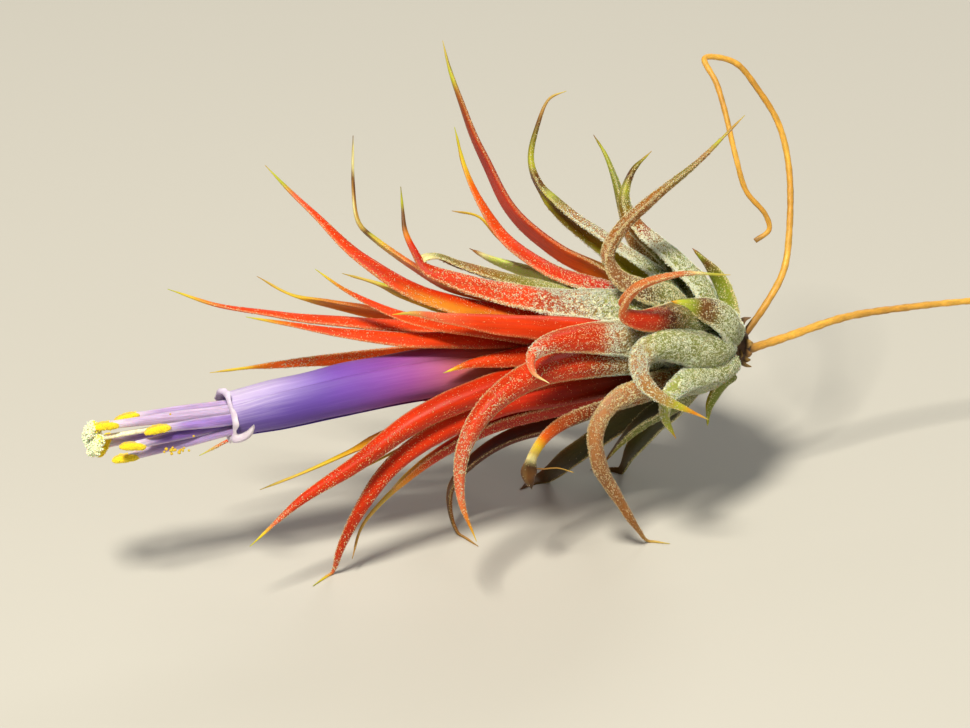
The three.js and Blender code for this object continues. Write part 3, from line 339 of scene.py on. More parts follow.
def place(points):
    """Sketch points [forward, up, near] in the part's axes, still from the foot of the stem."""
    forward, up, near = np.moveaxis(np.asarray(points, float), -1, 0)
    return np.stack([
        -forward,
        up * math.sin(LEAN) - near * math.cos(LEAN),
        up * math.cos(LEAN) + near * math.sin(LEAN),
    ], -1)


def knots(text):
    """Points from text such as "1 2 3, 4 5 6"."""
    return [[float(number) for number in point.split()] for point in text.split(",")]


def unit(v):
    return v / np.linalg.norm(v, axis=-1, keepdims=True)


def middle_of(node):
    """The middle of a solid's box, metres."""
    low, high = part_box(node)
    return (np.array(low) + np.array(high)) / 2


AXIS = unit(place(STEM_DIRECTION))
NEAR = place((0, 0, 1))
UPWARD = unit(np.array([0, 0.3, 1]))
# The foot of the stem in the part's frame, metres: every anther is as far from it as in the sketch.
FOOT = np.median([
    middle_of(f"anther_{index + 1}") - place(at) / 1000 for index, (at, _) in enumerate(ANTHERS)], axis=0)


def along_table(x, table):
    """Values at x of a table of (x, value) rows."""
    return np.interp(x, *zip(*table))


def spline(points, shares):
    """Points of a centripetal curve at shares of its length, and that length."""
    p = np.asarray(points, float)
    p = np.vstack([2 * p[0] - p[1], p, 2 * p[-1] - p[-2]])
    samples = [p[1][None]]
    for i in range(1, len(p) - 2):
        x0, x1, x2, x3 = p[i - 1:i + 3]
        d0, d1, d2 = (np.linalg.norm(b - a) ** 0.5 for a, b in ((x0, x1), (x1, x2), (x2, x3)))
        m1 = d1 * ((x1 - x0) / d0 - (x2 - x0) / (d0 + d1) + (x2 - x1) / d1)
        m2 = d1 * ((x2 - x1) / d1 - (x3 - x1) / (d1 + d2) + (x3 - x2) / d2)
        t = np.linspace(0, 1, SPLINE_STEPS + 1)[1:, None]
        samples.append(x1 + m1 * t + (3 * (x2 - x1) - 2 * m1 - m2) * t**2 + (2 * (x1 - x2) + m1 + m2) * t**3)
    line = np.vstack(samples)
    run = np.concatenate([[0], np.cumsum(np.linalg.norm(np.diff(line, axis=0), axis=1))])
    length = run[-1]
    return np.stack([np.interp(np.asarray(shares) * length, run, column) for column in line.T], -1), length


def frames_along(line, first_out):
    """Tangent, outward and side directions along a line, with no twist of their own."""
    along = unit(np.vstack([line[1:2] - line[:1], line[2:] - line[:-2], line[-1:] - line[-2:-1]]))
    out = np.empty_like(line)
    current = np.asarray(first_out, float)
    for i, tangent in enumerate(along):
        current = unit(current - tangent * current.dot(tangent))
        out[i] = current
    return along, out, np.cross(along, out)


def across_and_above(lie):
    """Two directions square to one that a piece lies along."""
    across = unit(np.cross(lie, UPWARD))
    return across, np.cross(across, lie)


def full_turn(count):
    """Angles evenly round a circle."""
    return np.linspace(0, 2 * math.pi, count, endpoint=False)


def keep_above(points, height):
    """Lifts points that are lower than a height over the floor."""
    points[:, 2] = np.maximum(points[:, 2], FLOOR + height)


def oval(a, b, turn, wide=1, thick=1):
    """Offsets round an oval, from wide along a to thick along b a quarter turn on."""
    return a * (wide * np.cos(turn))[..., None] + b * (thick * np.sin(turn))[..., None]


def spread(*parts):
    """A row of three values for every point of the grid that the parts span."""
    return np.stack(np.broadcast_arrays(*parts), -1).reshape(-1, 3)


def seeded(kind, index=0):
    """The random draws of one piece."""
    return np.random.default_rng(SEEDS[kind] + index)


def wave(rng, x, lengths, size):
    """Smooth seeded noise along x."""
    total = np.zeros_like(np.asarray(x, float))
    for length in lengths:
        total += rng.normal() * np.sin(2 * np.pi * (np.asarray(x) / length + rng.random()))
    return size * total / len(lengths)


def smooth(x, low, high):
    """Rises from 0 at low to 1 at high."""
    x = np.clip((np.asarray(x, float) - low) / (high - low), 0, 1)
    return x * x * (3 - 2 * x)


def fade(x, low, high):
    """Falls from 1 at low to 0 at high."""
    return 1 - smooth(x, low, high)


def clumps(rng, x, y):
    """Smooth seeded patches over a plane, one unit apart, from 0 to 1."""
    grid = rng.random((CLUMP_GRID, CLUMP_GRID))
    column, row = np.floor(x).astype(int), np.floor(y).astype(int)
    across, up = smooth(x - column, 0, 1), smooth(y - row, 0, 1)
    corner = [[grid[(row + i) % CLUMP_GRID, (column + j) % CLUMP_GRID] for j in (0, 1)] for i in (0, 1)]
    low, high = (left + (right - left) * across for left, right in corner)
    return low + (high - low) * up


# ---- Colours ----


def linear(code):
    """The linear colour of an sRGB code."""
    srgb = np.array([int(code[i:i + 2], 16) for i in (0, 2, 4)]) / 255
    return np.where(srgb <= 0.04045, srgb / 12.92, ((srgb + 0.055) / 1.055) ** 2.4)


def rgba(code):
    return (*linear(code).tolist(), 1.0)


def mixed(a, b, share):
    """Two vectors, or the colours of two codes, mixed by shares."""
    a, b = (linear(value) if isinstance(value, str) else value for value in (a, b))
    share = np.asarray(share)[..., None]
    return a * (1 - share) + b * share


def stops(text, read=float):
    """Pairs of a share and a value, from text such as "0:red .5:coral 1:lime"."""
    return [(float(share), read(value)) for share, value in (stop.split(":") for stop in text.split())]


def colour_along(pairs, t):
    """The colour at t, from pairs of a share and a code."""
    shares, codes = zip(*pairs)
    return np.stack([np.interp(t, shares, channel) for channel in zip(*map(linear, codes))], -1)


# ---- Pieces ----

# Values at each point that the materials read: their kind, and what a mesh calls them.
FIELDS = {"tint": ("FLOAT_COLOR", "color"), "lay": ("FLOAT_VECTOR", "vector"), "down": ("FLOAT", "value")}
# How broad a sheet's rim is on its flat layout.
RIM_UV = 0.01


def make(name, points, faces, material, slot, node=None, uv=None, **fields):
    """Mesh object from points in millimetres from the foot of the stem."""
    points = np.asarray(points, float)
    faces = [tuple(int(v) for v in face) for face in faces]
    corners = np.array([(f[0], f[i], f[i + 1]) for f in faces for i in range(1, len(f) - 1)])
    a, b, c = (points[corners[:, k]] for k in range(3))
    if np.einsum("ij,ij->", a, np.cross(b, c)) < 0:
        faces = [face[::-1] for face in faces]
        uv = uv and [corner[::-1] for corner in uv]
    mesh = bpy.data.meshes.new(name)
    mesh.from_pydata((points / 1000 + FOOT).tolist(), [], faces)
    mesh.polygons.foreach_set("use_smooth", [True] * len(mesh.polygons))
    for label, values in fields.items():
        kind, entry = FIELDS[label]
        if kind == "FLOAT_COLOR":
            values = np.concatenate([values, np.ones((len(values), 1))], 1)
        mesh.attributes.new(label, kind, "POINT").data.foreach_set(entry, np.asarray(values, float).ravel())
    if uv:
        layer = mesh.uv_layers.new(name="OFBake")
        layer.data.foreach_set("uv", np.concatenate([np.ravel(corner) for corner in uv]))
    mesh.materials.append(material)
    piece = bpy.data.objects.new(name, mesh)
    bpy.context.collection.objects.link(piece)
    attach(piece, "root")
    if node:
        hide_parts(node)


def make_joined(name, parts, material, slot, node):
    """One piece of several meshes, each its points, faces, lay and tint."""
    points, lay, tint = (np.concatenate([part[k] for part in parts]) for k in (0, 2, 3))
    starts = np.cumsum([0] + [len(part[0]) for part in parts])
    faces = [tuple(v + start for v in face) for start, part in zip(starts, parts) for face in part[1]]
    make(name, points, faces, material, slot, node, tint=tint, lay=lay)


def ring_faces(rings, sides, closed_start=True, tip=None):
    """Quads round rings of points, a face at the start, and one at the end or a fan to the tip vertex."""
    faces, uv = [], []
    for i in range(rings - 1):
        for j in range(sides):
            k = (j + 1) % sides
            faces.append((i * sides + j, i * sides + k, (i + 1) * sides + k, (i + 1) * sides + j))
            low, high, left, right = i / rings, (i + 1) / rings, j / sides, (j + 1) / sides
            uv.append([(left, low), (right, low), (right, high), (left, high)])
    if closed_start:
        faces.append(tuple(range(sides))[::-1])
        uv.append([(j / sides, 0) for j in range(sides)][::-1])
    last, low = (rings - 1) * sides, (rings - 1) / rings
    if tip is None:
        faces.append(tuple(last + j for j in range(sides)))
        uv.append([(j / sides, low) for j in range(sides)])
    else:
        for j in range(sides):
            faces.append((last + j, last + (j + 1) % sides, tip))
            uv.append([(j / sides, low), ((j + 1) / sides, low), ((j + 0.5) / sides, 1)])
    return faces, uv


def sheet_faces(rows, columns):
    """Faces of a thin closed sheet: an outer grid of rows by columns, then an inner one of the same size."""
    outer, inner = np.arange(2 * rows * columns).reshape(2, rows, columns)
    faces, uv = [], []
    for i in range(rows - 1):
        for j in range(columns - 1):
            faces.append((outer[i, j], outer[i, j + 1], outer[i + 1, j + 1], outer[i + 1, j]))
            faces.append((inner[i, j], inner[i + 1, j], inner[i + 1, j + 1], inner[i, j + 1]))
            left, right = j / (2 * columns), (j + 1) / (2 * columns)
            low, high = i / rows, (i + 1) / rows
            uv.append([(left, low), (right, low), (right, high), (left, high)])
            uv.append([(left + 0.5, low), (left + 0.5, high), (right + 0.5, high), (right + 0.5, low)])
    for i in range(rows - 1):
        for j, order in ((0, 1), (columns - 1, -1)):
            at, low, high = j / (2 * columns), i / rows, (i + 1) / rows
            faces.append((outer[i, j], outer[i + 1, j], inner[i + 1, j], inner[i, j])[::order])
            uv.append([(at, low), (at, high), (at + RIM_UV, high), (at + RIM_UV, low)][::order])
    for j in range(columns - 1):
        for i, order in ((0, 1), (rows - 1, -1)):
            at, left, right = i / rows, j / (2 * columns), (j + 1) / (2 * columns)
            faces.append((outer[i, j], outer[i, j + 1], inner[i, j + 1], inner[i, j])[::order])
            uv.append([(left, at), (right, at), (right, at + RIM_UV), (left, at + RIM_UV)][::order])
    return faces, uv


# ---- Materials ----


class Graph:
    """A material's nodes, built from the surface shader back."""

    def __init__(self, name):
        self.material = bpy.data.materials.new(name)
        self.material.use_nodes = True
        self.tree = self.material.node_tree
        self.shader = self.tree.nodes["Principled BSDF"]

    def feed(self, socket, value):
        """Links a node's output, or a constant value, to an input."""
        if isinstance(value, bpy.types.NodeSocket):
            self.tree.links.new(value, socket)
        else:
            socket.default_value = value

    def set(self, **values):
        """Feeds the surface shader's inputs by name."""
        for label, value in values.items():
            self.feed(self.shader.inputs[label.replace("_", " ")], value)

    def node(self, kind, output, inputs, **settings):
        """A new node's output. Inputs go by number or name."""
        node = self.tree.nodes.new("ShaderNode" + kind)
        for label, value in settings.items():
            setattr(node, label, value)
        for socket, value in inputs.items():
            self.feed(node.inputs[socket], value)
        return node.outputs[output]

    def attribute(self, label, output):
        return self.node("Attribute", output, {}, attribute_name=label)

    def math(self, operation, *values):
        return self.node("Math", 0, dict(enumerate(values)), operation=operation)

    def scaled(self, vector, by):
        """A vector times a number, or times another vector."""
        if isinstance(by, tuple):
            return self.node("VectorMath", 0, {0: vector, 1: by}, operation="MULTIPLY")
        return self.node("VectorMath", 0, {0: vector, "Scale": by}, operation="SCALE")

    def grain(self, lay, stretch, detail, roughness=0.55):
        """Noise, finer along the axes that are stretched more."""
        inputs = {"Vector": self.scaled(lay, stretch), "Scale": 1, "Detail": detail, "Roughness": roughness}
        return self.node("TexNoise", "Fac", inputs)

    def ramp(self, value, low, high, to_low=0.0, to_high=1.0):
        """A smooth step from one value to another."""
        ends = {"Value": value, "From Min": low, "From Max": high, "To Min": to_low, "To Max": to_high}
        return self.node("MapRange", "Result", ends, interpolation_type="SMOOTHSTEP")

    def mix(self, factor, a, b):
        return self.node("Mix", 2, {0: factor, 6: a, 7: b}, data_type="RGBA")

    def bump(self, height, distance, strength):
        inputs = {"Distance": distance, "Strength": strength, "Height": height}
        self.set(Normal=self.node("Bump", "Normal", inputs))


def leaf_material(slot, sheen, down_code):
    """A fleshy leaf: streaked colour, and a nap of small pale scales where the down is thick."""
    g = Graph(f"leaf_{slot}")
    lay, down = g.attribute("lay", "Vector"), g.attribute("down", "Fac")
    streaks = g.grain(lay, (2.6, 0.14, 1), 5, 0.6)
    blotches = g.grain(lay, (0.5, 0.16, 1), 3)
    streaked = g.ramp(streaks, 0.25, 0.75, 0.84, 1.14)
    level = g.math("MULTIPLY", streaked, g.ramp(blotches, 0.3, 0.7, 0.86, 1.1))
    scales = g.node("TexVoronoi", "Distance", {"Vector": g.scaled(lay, (8, 3.8, 1)), "Scale": 1})
    grains = g.grain(lay, (3.4, 1.9, 1), 5, 0.62)
    reach = g.math("MULTIPLY_ADD", down, 0.66, -0.06)
    mask = g.ramp(g.math("SUBTRACT", reach, scales), -0.06, 0.12)
    mask = g.math("MULTIPLY", mask, g.ramp(grains, 0.42, 0.6, 0.04, 1))
    nap = g.mix(g.ramp(down, 0.6, 0.95), rgba(down_code), rgba("ecefcc"))
    g.set(
        Base_Color=g.mix(g.math("MULTIPLY", mask, 0.86), g.scaled(g.attribute("tint", "Color"), level), nap),
        Roughness=g.ramp(mask, 0, 1, 0.44, 0.78),
        Subsurface_Weight=0.22, Subsurface_Scale=0.0016, Subsurface_Radius=(1.0, 0.42, 0.1),
        Sheen_Weight=g.math("MULTIPLY", down, sheen), Sheen_Roughness=0.35, Specular_IOR_Level=0.2,
    )
    g.bump(g.math("ADD", g.math("MULTIPLY", mask, 0.9), g.math("MULTIPLY", streaks, 0.5)), 0.00012, 0.8)
    return g.material


def down_material(name, code):
    """A small pale scale, a little see-through."""
    g = Graph(name)
    g.set(Base_Color=rgba(code), Roughness=0.55, Subsurface_Weight=0.3, Subsurface_Scale=0.0004,
          Sheen_Weight=0.3, Specular_IOR_Level=0.5)
    return g.material


def petal_material():
    """A thin petal with fine veins, paler where its down value is high: pale veins toward the mouth, partly
    their own colour and partly a painted highlight on the lit side.
    """
    g = Graph("petal")
    lay = g.attribute("lay", "Vector")
    veins = g.grain(lay, (3.4, 0.1, 1), 6, 0.65)
    washes = g.grain(lay, (0.5, 0.08, 1), 3)
    level = g.math("MULTIPLY", g.ramp(veins, 0.3, 0.7, 0.95, 1.04), g.ramp(washes, 0.3, 0.7, 0.92, 1.06))
    pale = g.math("MULTIPLY", g.ramp(veins, 0.46, 0.66), g.attribute("down", "Fac"))
    colour = g.scaled(g.attribute("tint", "Color"), level)
    g.set(
        Base_Color=g.mix(g.math("MULTIPLY", pale, 0.5), colour, rgba("e4dcee")),
        Roughness=g.ramp(veins, 0.3, 0.7, 0.44, 0.6),
        Subsurface_Weight=0.2, Subsurface_Scale=0.001, Subsurface_Radius=(0.8, 0.5, 1.0),
        Sheen_Weight=0.12, Sheen_Roughness=0.35, Specular_IOR_Level=0.3,
    )
    g.bump(g.math("ADD", g.math("MULTIPLY", veins, 0.7), g.math("MULTIPLY", washes, 0.6)), 0.00008, 0.5)
    return g.material


def plain_material(name, roughness, distance, stretch, subsurface, sheen):
    """Colour from the piece's own tint, broken up by grain along its length."""
    g = Graph(name)
    lay = g.attribute("lay", "Vector")
    grain = g.grain(lay, stretch, 6, 0.65)
    fine = g.grain(lay, tuple(3.1 * s for s in stretch), 3)
    level = g.math("MULTIPLY", g.ramp(grain, 0.25, 0.75, 0.72, 1.24), g.ramp(fine, 0.3, 0.7, 0.9, 1.08))
    g.set(
        Base_Color=g.scaled(g.attribute("tint", "Color"), level),
        Roughness=g.ramp(grain, 0.3, 0.7, roughness + 0.08, roughness - 0.08),
        Subsurface_Weight=subsurface, Subsurface_Scale=0.0006, Sheen_Weight=sheen,
    )
    g.bump(g.math("ADD", grain, g.math("MULTIPLY", fine, 0.4)), distance, 0.8)
    return g.material


LEAF_MATERIALS = {slot: leaf_material(slot, sheen, code) for slot, sheen, code in (
    ("red", 0.03, "e4924a"), ("orange", 0.03, "e2b45e"), ("bronze", 0.1, "d4b47a"), ("green", 0.1, "d3d898"),
    ("silver", 0.1, "d5dbae"))}
PETAL = petal_material()
FILAMENT = plain_material("filament", 0.42, 0.00006, (5, 0.25, 1), 0.25, 0.2)
ANTHER = plain_material("anther", 0.8, 0.00012, (7, 7, 7), 0.15, 0.3)
PISTIL = plain_material("pistil", 0.7, 0.00004, (2, 2, 2), 0.35, 0.3)
CALYX = plain_material("calyx", 0.55, 0.00008, (3, 0.2, 1), 0.1, 0.1)
STEM = plain_material("stem", 0.85, 0.0003, (3, 0.35, 1), 0, 0.1)
ROOT = plain_material("root", 0.5, 0.0001, (3.2, 0.5, 1), 0.12, 0.1)

# ---- Leaves ----

LEAF_RINGS = 60
OUTER_ARC = np.sin(np.linspace(-math.pi / 2, math.pi / 2, 13))
INNER_ARC = np.sin(np.linspace(math.pi / 2, -math.pi / 2, 11))[1:-1]
SECTION = np.concatenate([OUTER_ARC, INNER_ARC])
FACE = np.repeat([1.0, -1.0], [len(OUTER_ARC), len(INNER_ARC)])
# How much a blade flares round the stem at its foot, by station.
FLARE = [(2, 0.42), (6, 0.45), (10, 0.3), (15, 0.12)]
# How far the tip runs out beyond the last ring.
TIP_POINT = 0.12
# How far apart the grain of a blade's two faces lies, and over what depth the leaves' grain is spread.
FACES_APART = 11
GRAIN_DEPTH = 3.7
SCALES_PER_SQUARE = 66
# The share of the scales that fringes the margins, and how deep a scale's root is sunk.
FRINGE = 0.26
ROOT_DEPTH = 0.012


class Leaf:
    """A channelled blade that clasps the stem at its foot and runs out to a slender tip."""

    def __init__(self, name, index):
        self.name, self.rng = name, seeded("leaf", index)
        station, width, self.slot, coat, self.dry, path = LEAVES[name]
        outer, inner, down = COATS[coat]
        self.outer, self.inner = stops(outer, TONES.get), stops(inner or outer, TONES.get)
        self.alike, self.down = inner is None, stops(down)
        visible = place(knots(path))
        out = unit(visible[0] - AXIS * visible[0].dot(AXIS))
        foot = AXIS * station + out * (along_table(station, STEM_PROFILE) + GAP + 0.3 * width * LEAF_THICK)
        t = 1 - (1 - np.linspace(0, 1, LEAF_RINGS + 1)) ** TIP_EASE
        line, length = spline([foot, *visible], t)
        _, out, side = frames_along(line, out)
        mm = t * length
        outward, aside = (wave(self.rng, mm, lengths, 0.06)[:, None] for lengths in ((9, 17), (9, 19)))
        line = line + np.minimum(t / 0.3, 1)[:, None] * (out * outward + side * aside)
        keep_above(line, SEATING)
        self.t, self.length, self.line = t, length, line
        self.along, self.out, self.side = frames_along(line, out[0])
        fuller, hold, steady, shrink = BUILD.get(name, USUAL_BUILD)
        width *= fuller
        sheath = 1 + along_table(station, FLARE) * fade(t, 0.02, 0.42)
        taper = 1 - np.maximum((t - hold) / (1 - hold), 0) ** steady
        dried = smooth(t, self.dry - 0.04, self.dry + 0.03)
        thread = 1 - shrink * dried * (1 - 0.6 * smooth(t, self.dry + 0.05, 1.06))
        end = 0.1 + 0.26 * fade(t, 0.95, 1)
        self.wide = np.maximum(width * sheath * taper * thread * (1 + wave(self.rng, mm, (5, 9), 0.03)), end)
        thick = np.maximum(width * LEAF_THICK * (1 - 0.3 * t) * taper ** 0.35, 0.11)
        self.thick = np.minimum(self.wide * 0.9, thick)
        if name in CRUMPLED:
            start, swell = CRUMPLED[name]
            swell = 1 + swell * smooth(t, start, start + 0.05) * (1 + 0.2 * np.sin(90 * t))
            self.thick = np.minimum(self.wide * 0.95, self.thick * swell)
        self.fold = LEAF_CHANNEL * self.wide * np.minimum(1, 3 * (1 - t)) * (1 + 0.5 * fade(t, 0, 0.25))
        self.fold *= 1 - (1 - FLATTER.get(name, 1)) * smooth(t, 0.1, 0.35)

    def surface(self, t, q, face, sunk=0.0):
        """Points, outward normals and tangents at shares t of the length, q across, on a face."""
        def at(values):
            if values.ndim == 1:
                return np.interp(t, self.t, values)
            return np.stack([np.interp(t, self.t, column) for column in values.T], -1)

        point, *directions = (at(values) for values in (self.line, self.along, self.out, self.side))
        along, out, side = (unit(direction) for direction in directions)
        half, thick, fold = at(self.wide) / 2, at(self.thick) / 2, at(self.fold)
        rise = fold * (0.5 - q * q) + face * thick * np.maximum(1 - q * q, 0) ** 0.6
        slope = -2 * fold * q - face * thick * 1.2 * q * np.maximum(1 - q * q, 0.05) ** -0.4
        normal = unit(face[..., None] * (out * half[..., None] - side * slope[..., None]))
        normal = unit(mixed(normal, np.sign(q)[..., None] * side, smooth(np.abs(q), 0.93, 1)))
        point = point + side * (q * half)[..., None] + out * rise[..., None] - normal * sunk
        return point, normal, along

    def tint_at(self, t, q, face):
        """The blade's colour, paler toward its margins where the down lies."""
        colour = mixed(colour_along(self.inner, t), colour_along(self.outer, t), (face > 0).astype(float))
        if self.name in BELLIES:
            start, until, tone = BELLIES[self.name]
            lower = smooth(-q, start, start + 0.35) * smooth(t, 0.25, 0.4) * fade(t, until, until + 0.12)
            colour = mixed(colour, TONES[tone], lower)
        return mixed(colour, TONES["cream"], smooth(np.abs(q), 0.86, 1) * 0.35 * along_table(t, self.down))

    def down_at(self, t, q, face):
        """How thick the down lies, thinner on an inner face that differs from the outer one."""
        thinner = 0.45 + 0.5 * smooth(np.abs(q), 0.6, 1)
        return along_table(t, self.down) * np.where((face > 0) | self.alike, 1, thinner)

    def piece(self):
        """The blade as a closed piece."""
        rings = len(self.t)
        t = np.repeat(self.t, len(SECTION))
        q, face = np.tile(SECTION, rings), np.tile(FACE, rings)
        points, _, _ = self.surface(t, q, face)
        half = np.interp(t, self.t, self.wide) / 2
        lay = spread(q * half + FACES_APART * (face < 0), t * self.length, GRAIN_DEPTH * self.rng.random())
        tint, down = self.tint_at(t, q, face), self.down_at(t, q, face)
        points = np.vstack([points, self.line[-1] + self.along[-1] * TIP_POINT])
        keep_above(points, CLEARANCE)
        faces, uv = ring_faces(rings, len(SECTION), tip=len(points) - 1)
        make(f"{self.name}_leaf", points, faces, LEAF_MATERIALS[self.slot], f"leaf_{self.slot}",
             f"leaf_{self.name}", uv=uv, tint=np.vstack([tint, tint[-1:]]), lay=np.vstack([lay, lay[-1:]]),
             down=np.append(down, 0))

    def scales(self):
        """Root points, normals and tangents of the scales, how long each is, and how thick they lie."""
        rng, widest = self.rng, self.wide.max()
        count = int((2 if self.alike else 1.4) * self.length * widest * SCALES_PER_SQUARE)
        t, q = rng.random(count), rng.uniform(-1, 1, count)
        edge = rng.random(count) < FRINGE
        q = np.where(edge, np.sign(q) * rng.uniform(0.93, 1, count), q)
        face = np.where(rng.random(count) < (0.55 if self.alike else 0.8), 1.0, -1.0)
        amount, width = along_table(t, self.down), np.interp(t, self.t, self.wide)
        across, mm = q * width / 2, t * self.length
        patches = clumps(rng, across / 0.42, mm / 0.75) + 0.6 * clumps(rng, across / 1.3, mm / 2.4)
        chance = np.where(edge, 1.3 * amount, amount**2 * (0.2 + 1.5 * smooth(patches, 0.5, 1.15)))
        chance = chance * np.where((face > 0) | edge | self.alike, 1, 0.06)
        chance = chance * (1 + 0.5 * smooth(amount, 0.8, 1))
        keep = rng.random(count) < chance * width / widest
        t, q, face, amount = t[keep], q[keep], face[keep], amount[keep]
        size = (0.075 + 0.085 * amount) * rng.uniform(0.6, 1.5, len(t))
        return *self.surface(t, q, face, ROOT_DEPTH), size, amount


# ---- Down ----

DOWN = {tone: down_material(f"down_{tone}", code) for tone, code in (
    ("silver", "f6f8da"), ("cream", "f8e2a0"), ("rose", "f09c50"), ("tan", "d8b27c"))}
DOWN_SLOT = {"silver": "leaf_silver", "cream": "leaf_red", "rose": "leaf_red", "tan": "leaf_bronze"}
# The tone of thin down, by the slot of its leaf.
THIN_DOWN = {"red": "rose", "orange": "rose", "bronze": "tan", "green": "cream", "silver": "cream"}
# How thick the down has to lie for the paler tones, how much that varies, and how much less it is on bronze.
SILVER_FROM = 0.78
CREAM_FROM = 0.5
DOWN_VARIES = 0.14
BRONZE_LESS = 0.26
FIRST_OUTER = list(LEAVES).index("swan_neck")


def down_piece(name, roots, material, slot, rng):
    """Many small raised scales as one piece, each a closed sliver that is rooted in its leaf."""
    point, normal, along, size = (np.concatenate(part) for part in zip(*roots))
    count = len(point)
    yaw = rng.normal(0, 0.8, count)[:, None]
    lift = rng.uniform(0.08, 0.6, count)[:, None]
    heading = unit(along * np.cos(yaw) + unit(np.cross(along, normal)) * np.sin(yaw))
    across = unit(np.cross(heading, normal))
    forward = unit(heading * np.cos(lift) + normal * np.sin(lift))
    upward = -unit(np.cross(across, forward))
    upward = upward * np.sign(np.einsum("ij,ij->i", upward, normal))[:, None]
    size = size[:, None]
    aside = across * (size * rng.uniform(0.6, 0.95, (count, 1))) / 2
    middle = point + forward * size * 0.45
    bulge = upward * 0.03
    corners = np.stack([point, middle + aside + bulge, point + forward * size, middle - aside + bulge], 1)
    corners = corners.reshape(-1, 3)
    keep_above(corners, CLEARANCE / 2)
    base = (np.arange(count) * 4)[:, None]
    sliver = ((0, 1, 3), (1, 2, 3), (0, 2, 1), (0, 3, 2))
    faces = np.concatenate([base + np.array(corner) for corner in sliver])
    make(name, corners, faces, material, slot)


def leaves():
    """Every leaf, and the down of all of them, fused by tone and by inner or outer leaves."""
    down_roots = {(tone, ring): [] for tone in DOWN for ring in ("inner", "outer")}
    for index, name in enumerate(LEAVES):
        leaf = Leaf(name, index)
        leaf.piece()
        *stand, amount = leaf.scales()
        ring = "outer" if index >= FIRST_OUTER else "inner"
        depth = amount + leaf.rng.normal(0, DOWN_VARIES, len(amount)) - BRONZE_LESS * (leaf.slot == "bronze")
        thin = np.where(depth > CREAM_FROM, "cream", THIN_DOWN[leaf.slot])
        tones = np.where(depth > SILVER_FROM, "silver", thin)
        for tone in DOWN:
            chosen = tones == tone
            if chosen.any():
                down_roots[tone, ring].append([part[chosen] for part in stand])
    for index, ((tone, ring), roots) in enumerate(down_roots.items()):
        down_piece(f"down_{tone}_{ring}", roots, DOWN[tone], DOWN_SLOT[tone], seeded("down", index))


leaves()

# ---- Flower ----

# The tube's colour along its length: its foot is its own pink and peach, made brighter with painted light
# where the leaves above shade it.
PETAL_TINTS = stops(
    "0:f2bc92 0.15:dd9a74 0.24:d2805f 0.31:c66a72 0.39:a9598c 0.47:914a9a 0.55:8249a6 0.64:784cb0 "
    "0.74:6e4eb6 0.84:7058bd 0.93:7e6cc4 1:9a8bc8 1.02:c9bbd8 1.3:d9cddd", str)
TUBE_OUTSIDE = [(0, 1.9), (0.15, 2.5), (0.36, 2.92), (0.66, 3.06), (0.86, 2.9), (0.94, 2.74), (1, 2.6)]
PETAL_ROWS = 76
PETAL_COLUMNS = 40
PETAL_WALL = 0.1
# Rows of a lobe beyond the mouth, and how far they carry the petal's colours on.
LOBE_ROWS = 18
LOBE_SHARE = 0.3
# Sepals: the share of the tube's length that they cover, and how they stand off it.
SEPAL_SHARE = 0.165
SEPAL_GAP = 0.3
SEPAL_WALL = 0.11


def tube_frames(shares):
    """The tube's axis at shares of its length: points, tangents, two directions across, and its length."""
    line, length = spline(place(TUBE_PATH), shares)
    return line, *frames_along(line, UPWARD), length


def front_lobe(q):
    """A lobe's length, curl, furthest turn and twist round the mouth: a rolled rim with a hooked corner."""
    hook = np.exp(-((q + 0.3) / 0.15) ** 2)
    return 1.35 + 2.3 * hook, 0.44 + 0.2 * hook, 3.1 - 0.5 * hook, 0.8 * hook


def top_lobe(q):
    """Rolled at the near side, and running straight on as a rounded flap at the far side."""
    flap = smooth(q, -0.1, 0.4)
    return 1.35 - 0.35 * flap, 0.44 + 5 * flap, 3.1 - 1.6 * flap, 0


def back_lobe(q):
    """Turned back evenly, furthest in the middle."""
    flap = fade(q, -0.8, -0.3)
    return 1.1 + 0.3 * flap, 0.5 + 5 * flap, 2.9, 0


LOBES = [top_lobe, back_lobe, front_lobe]


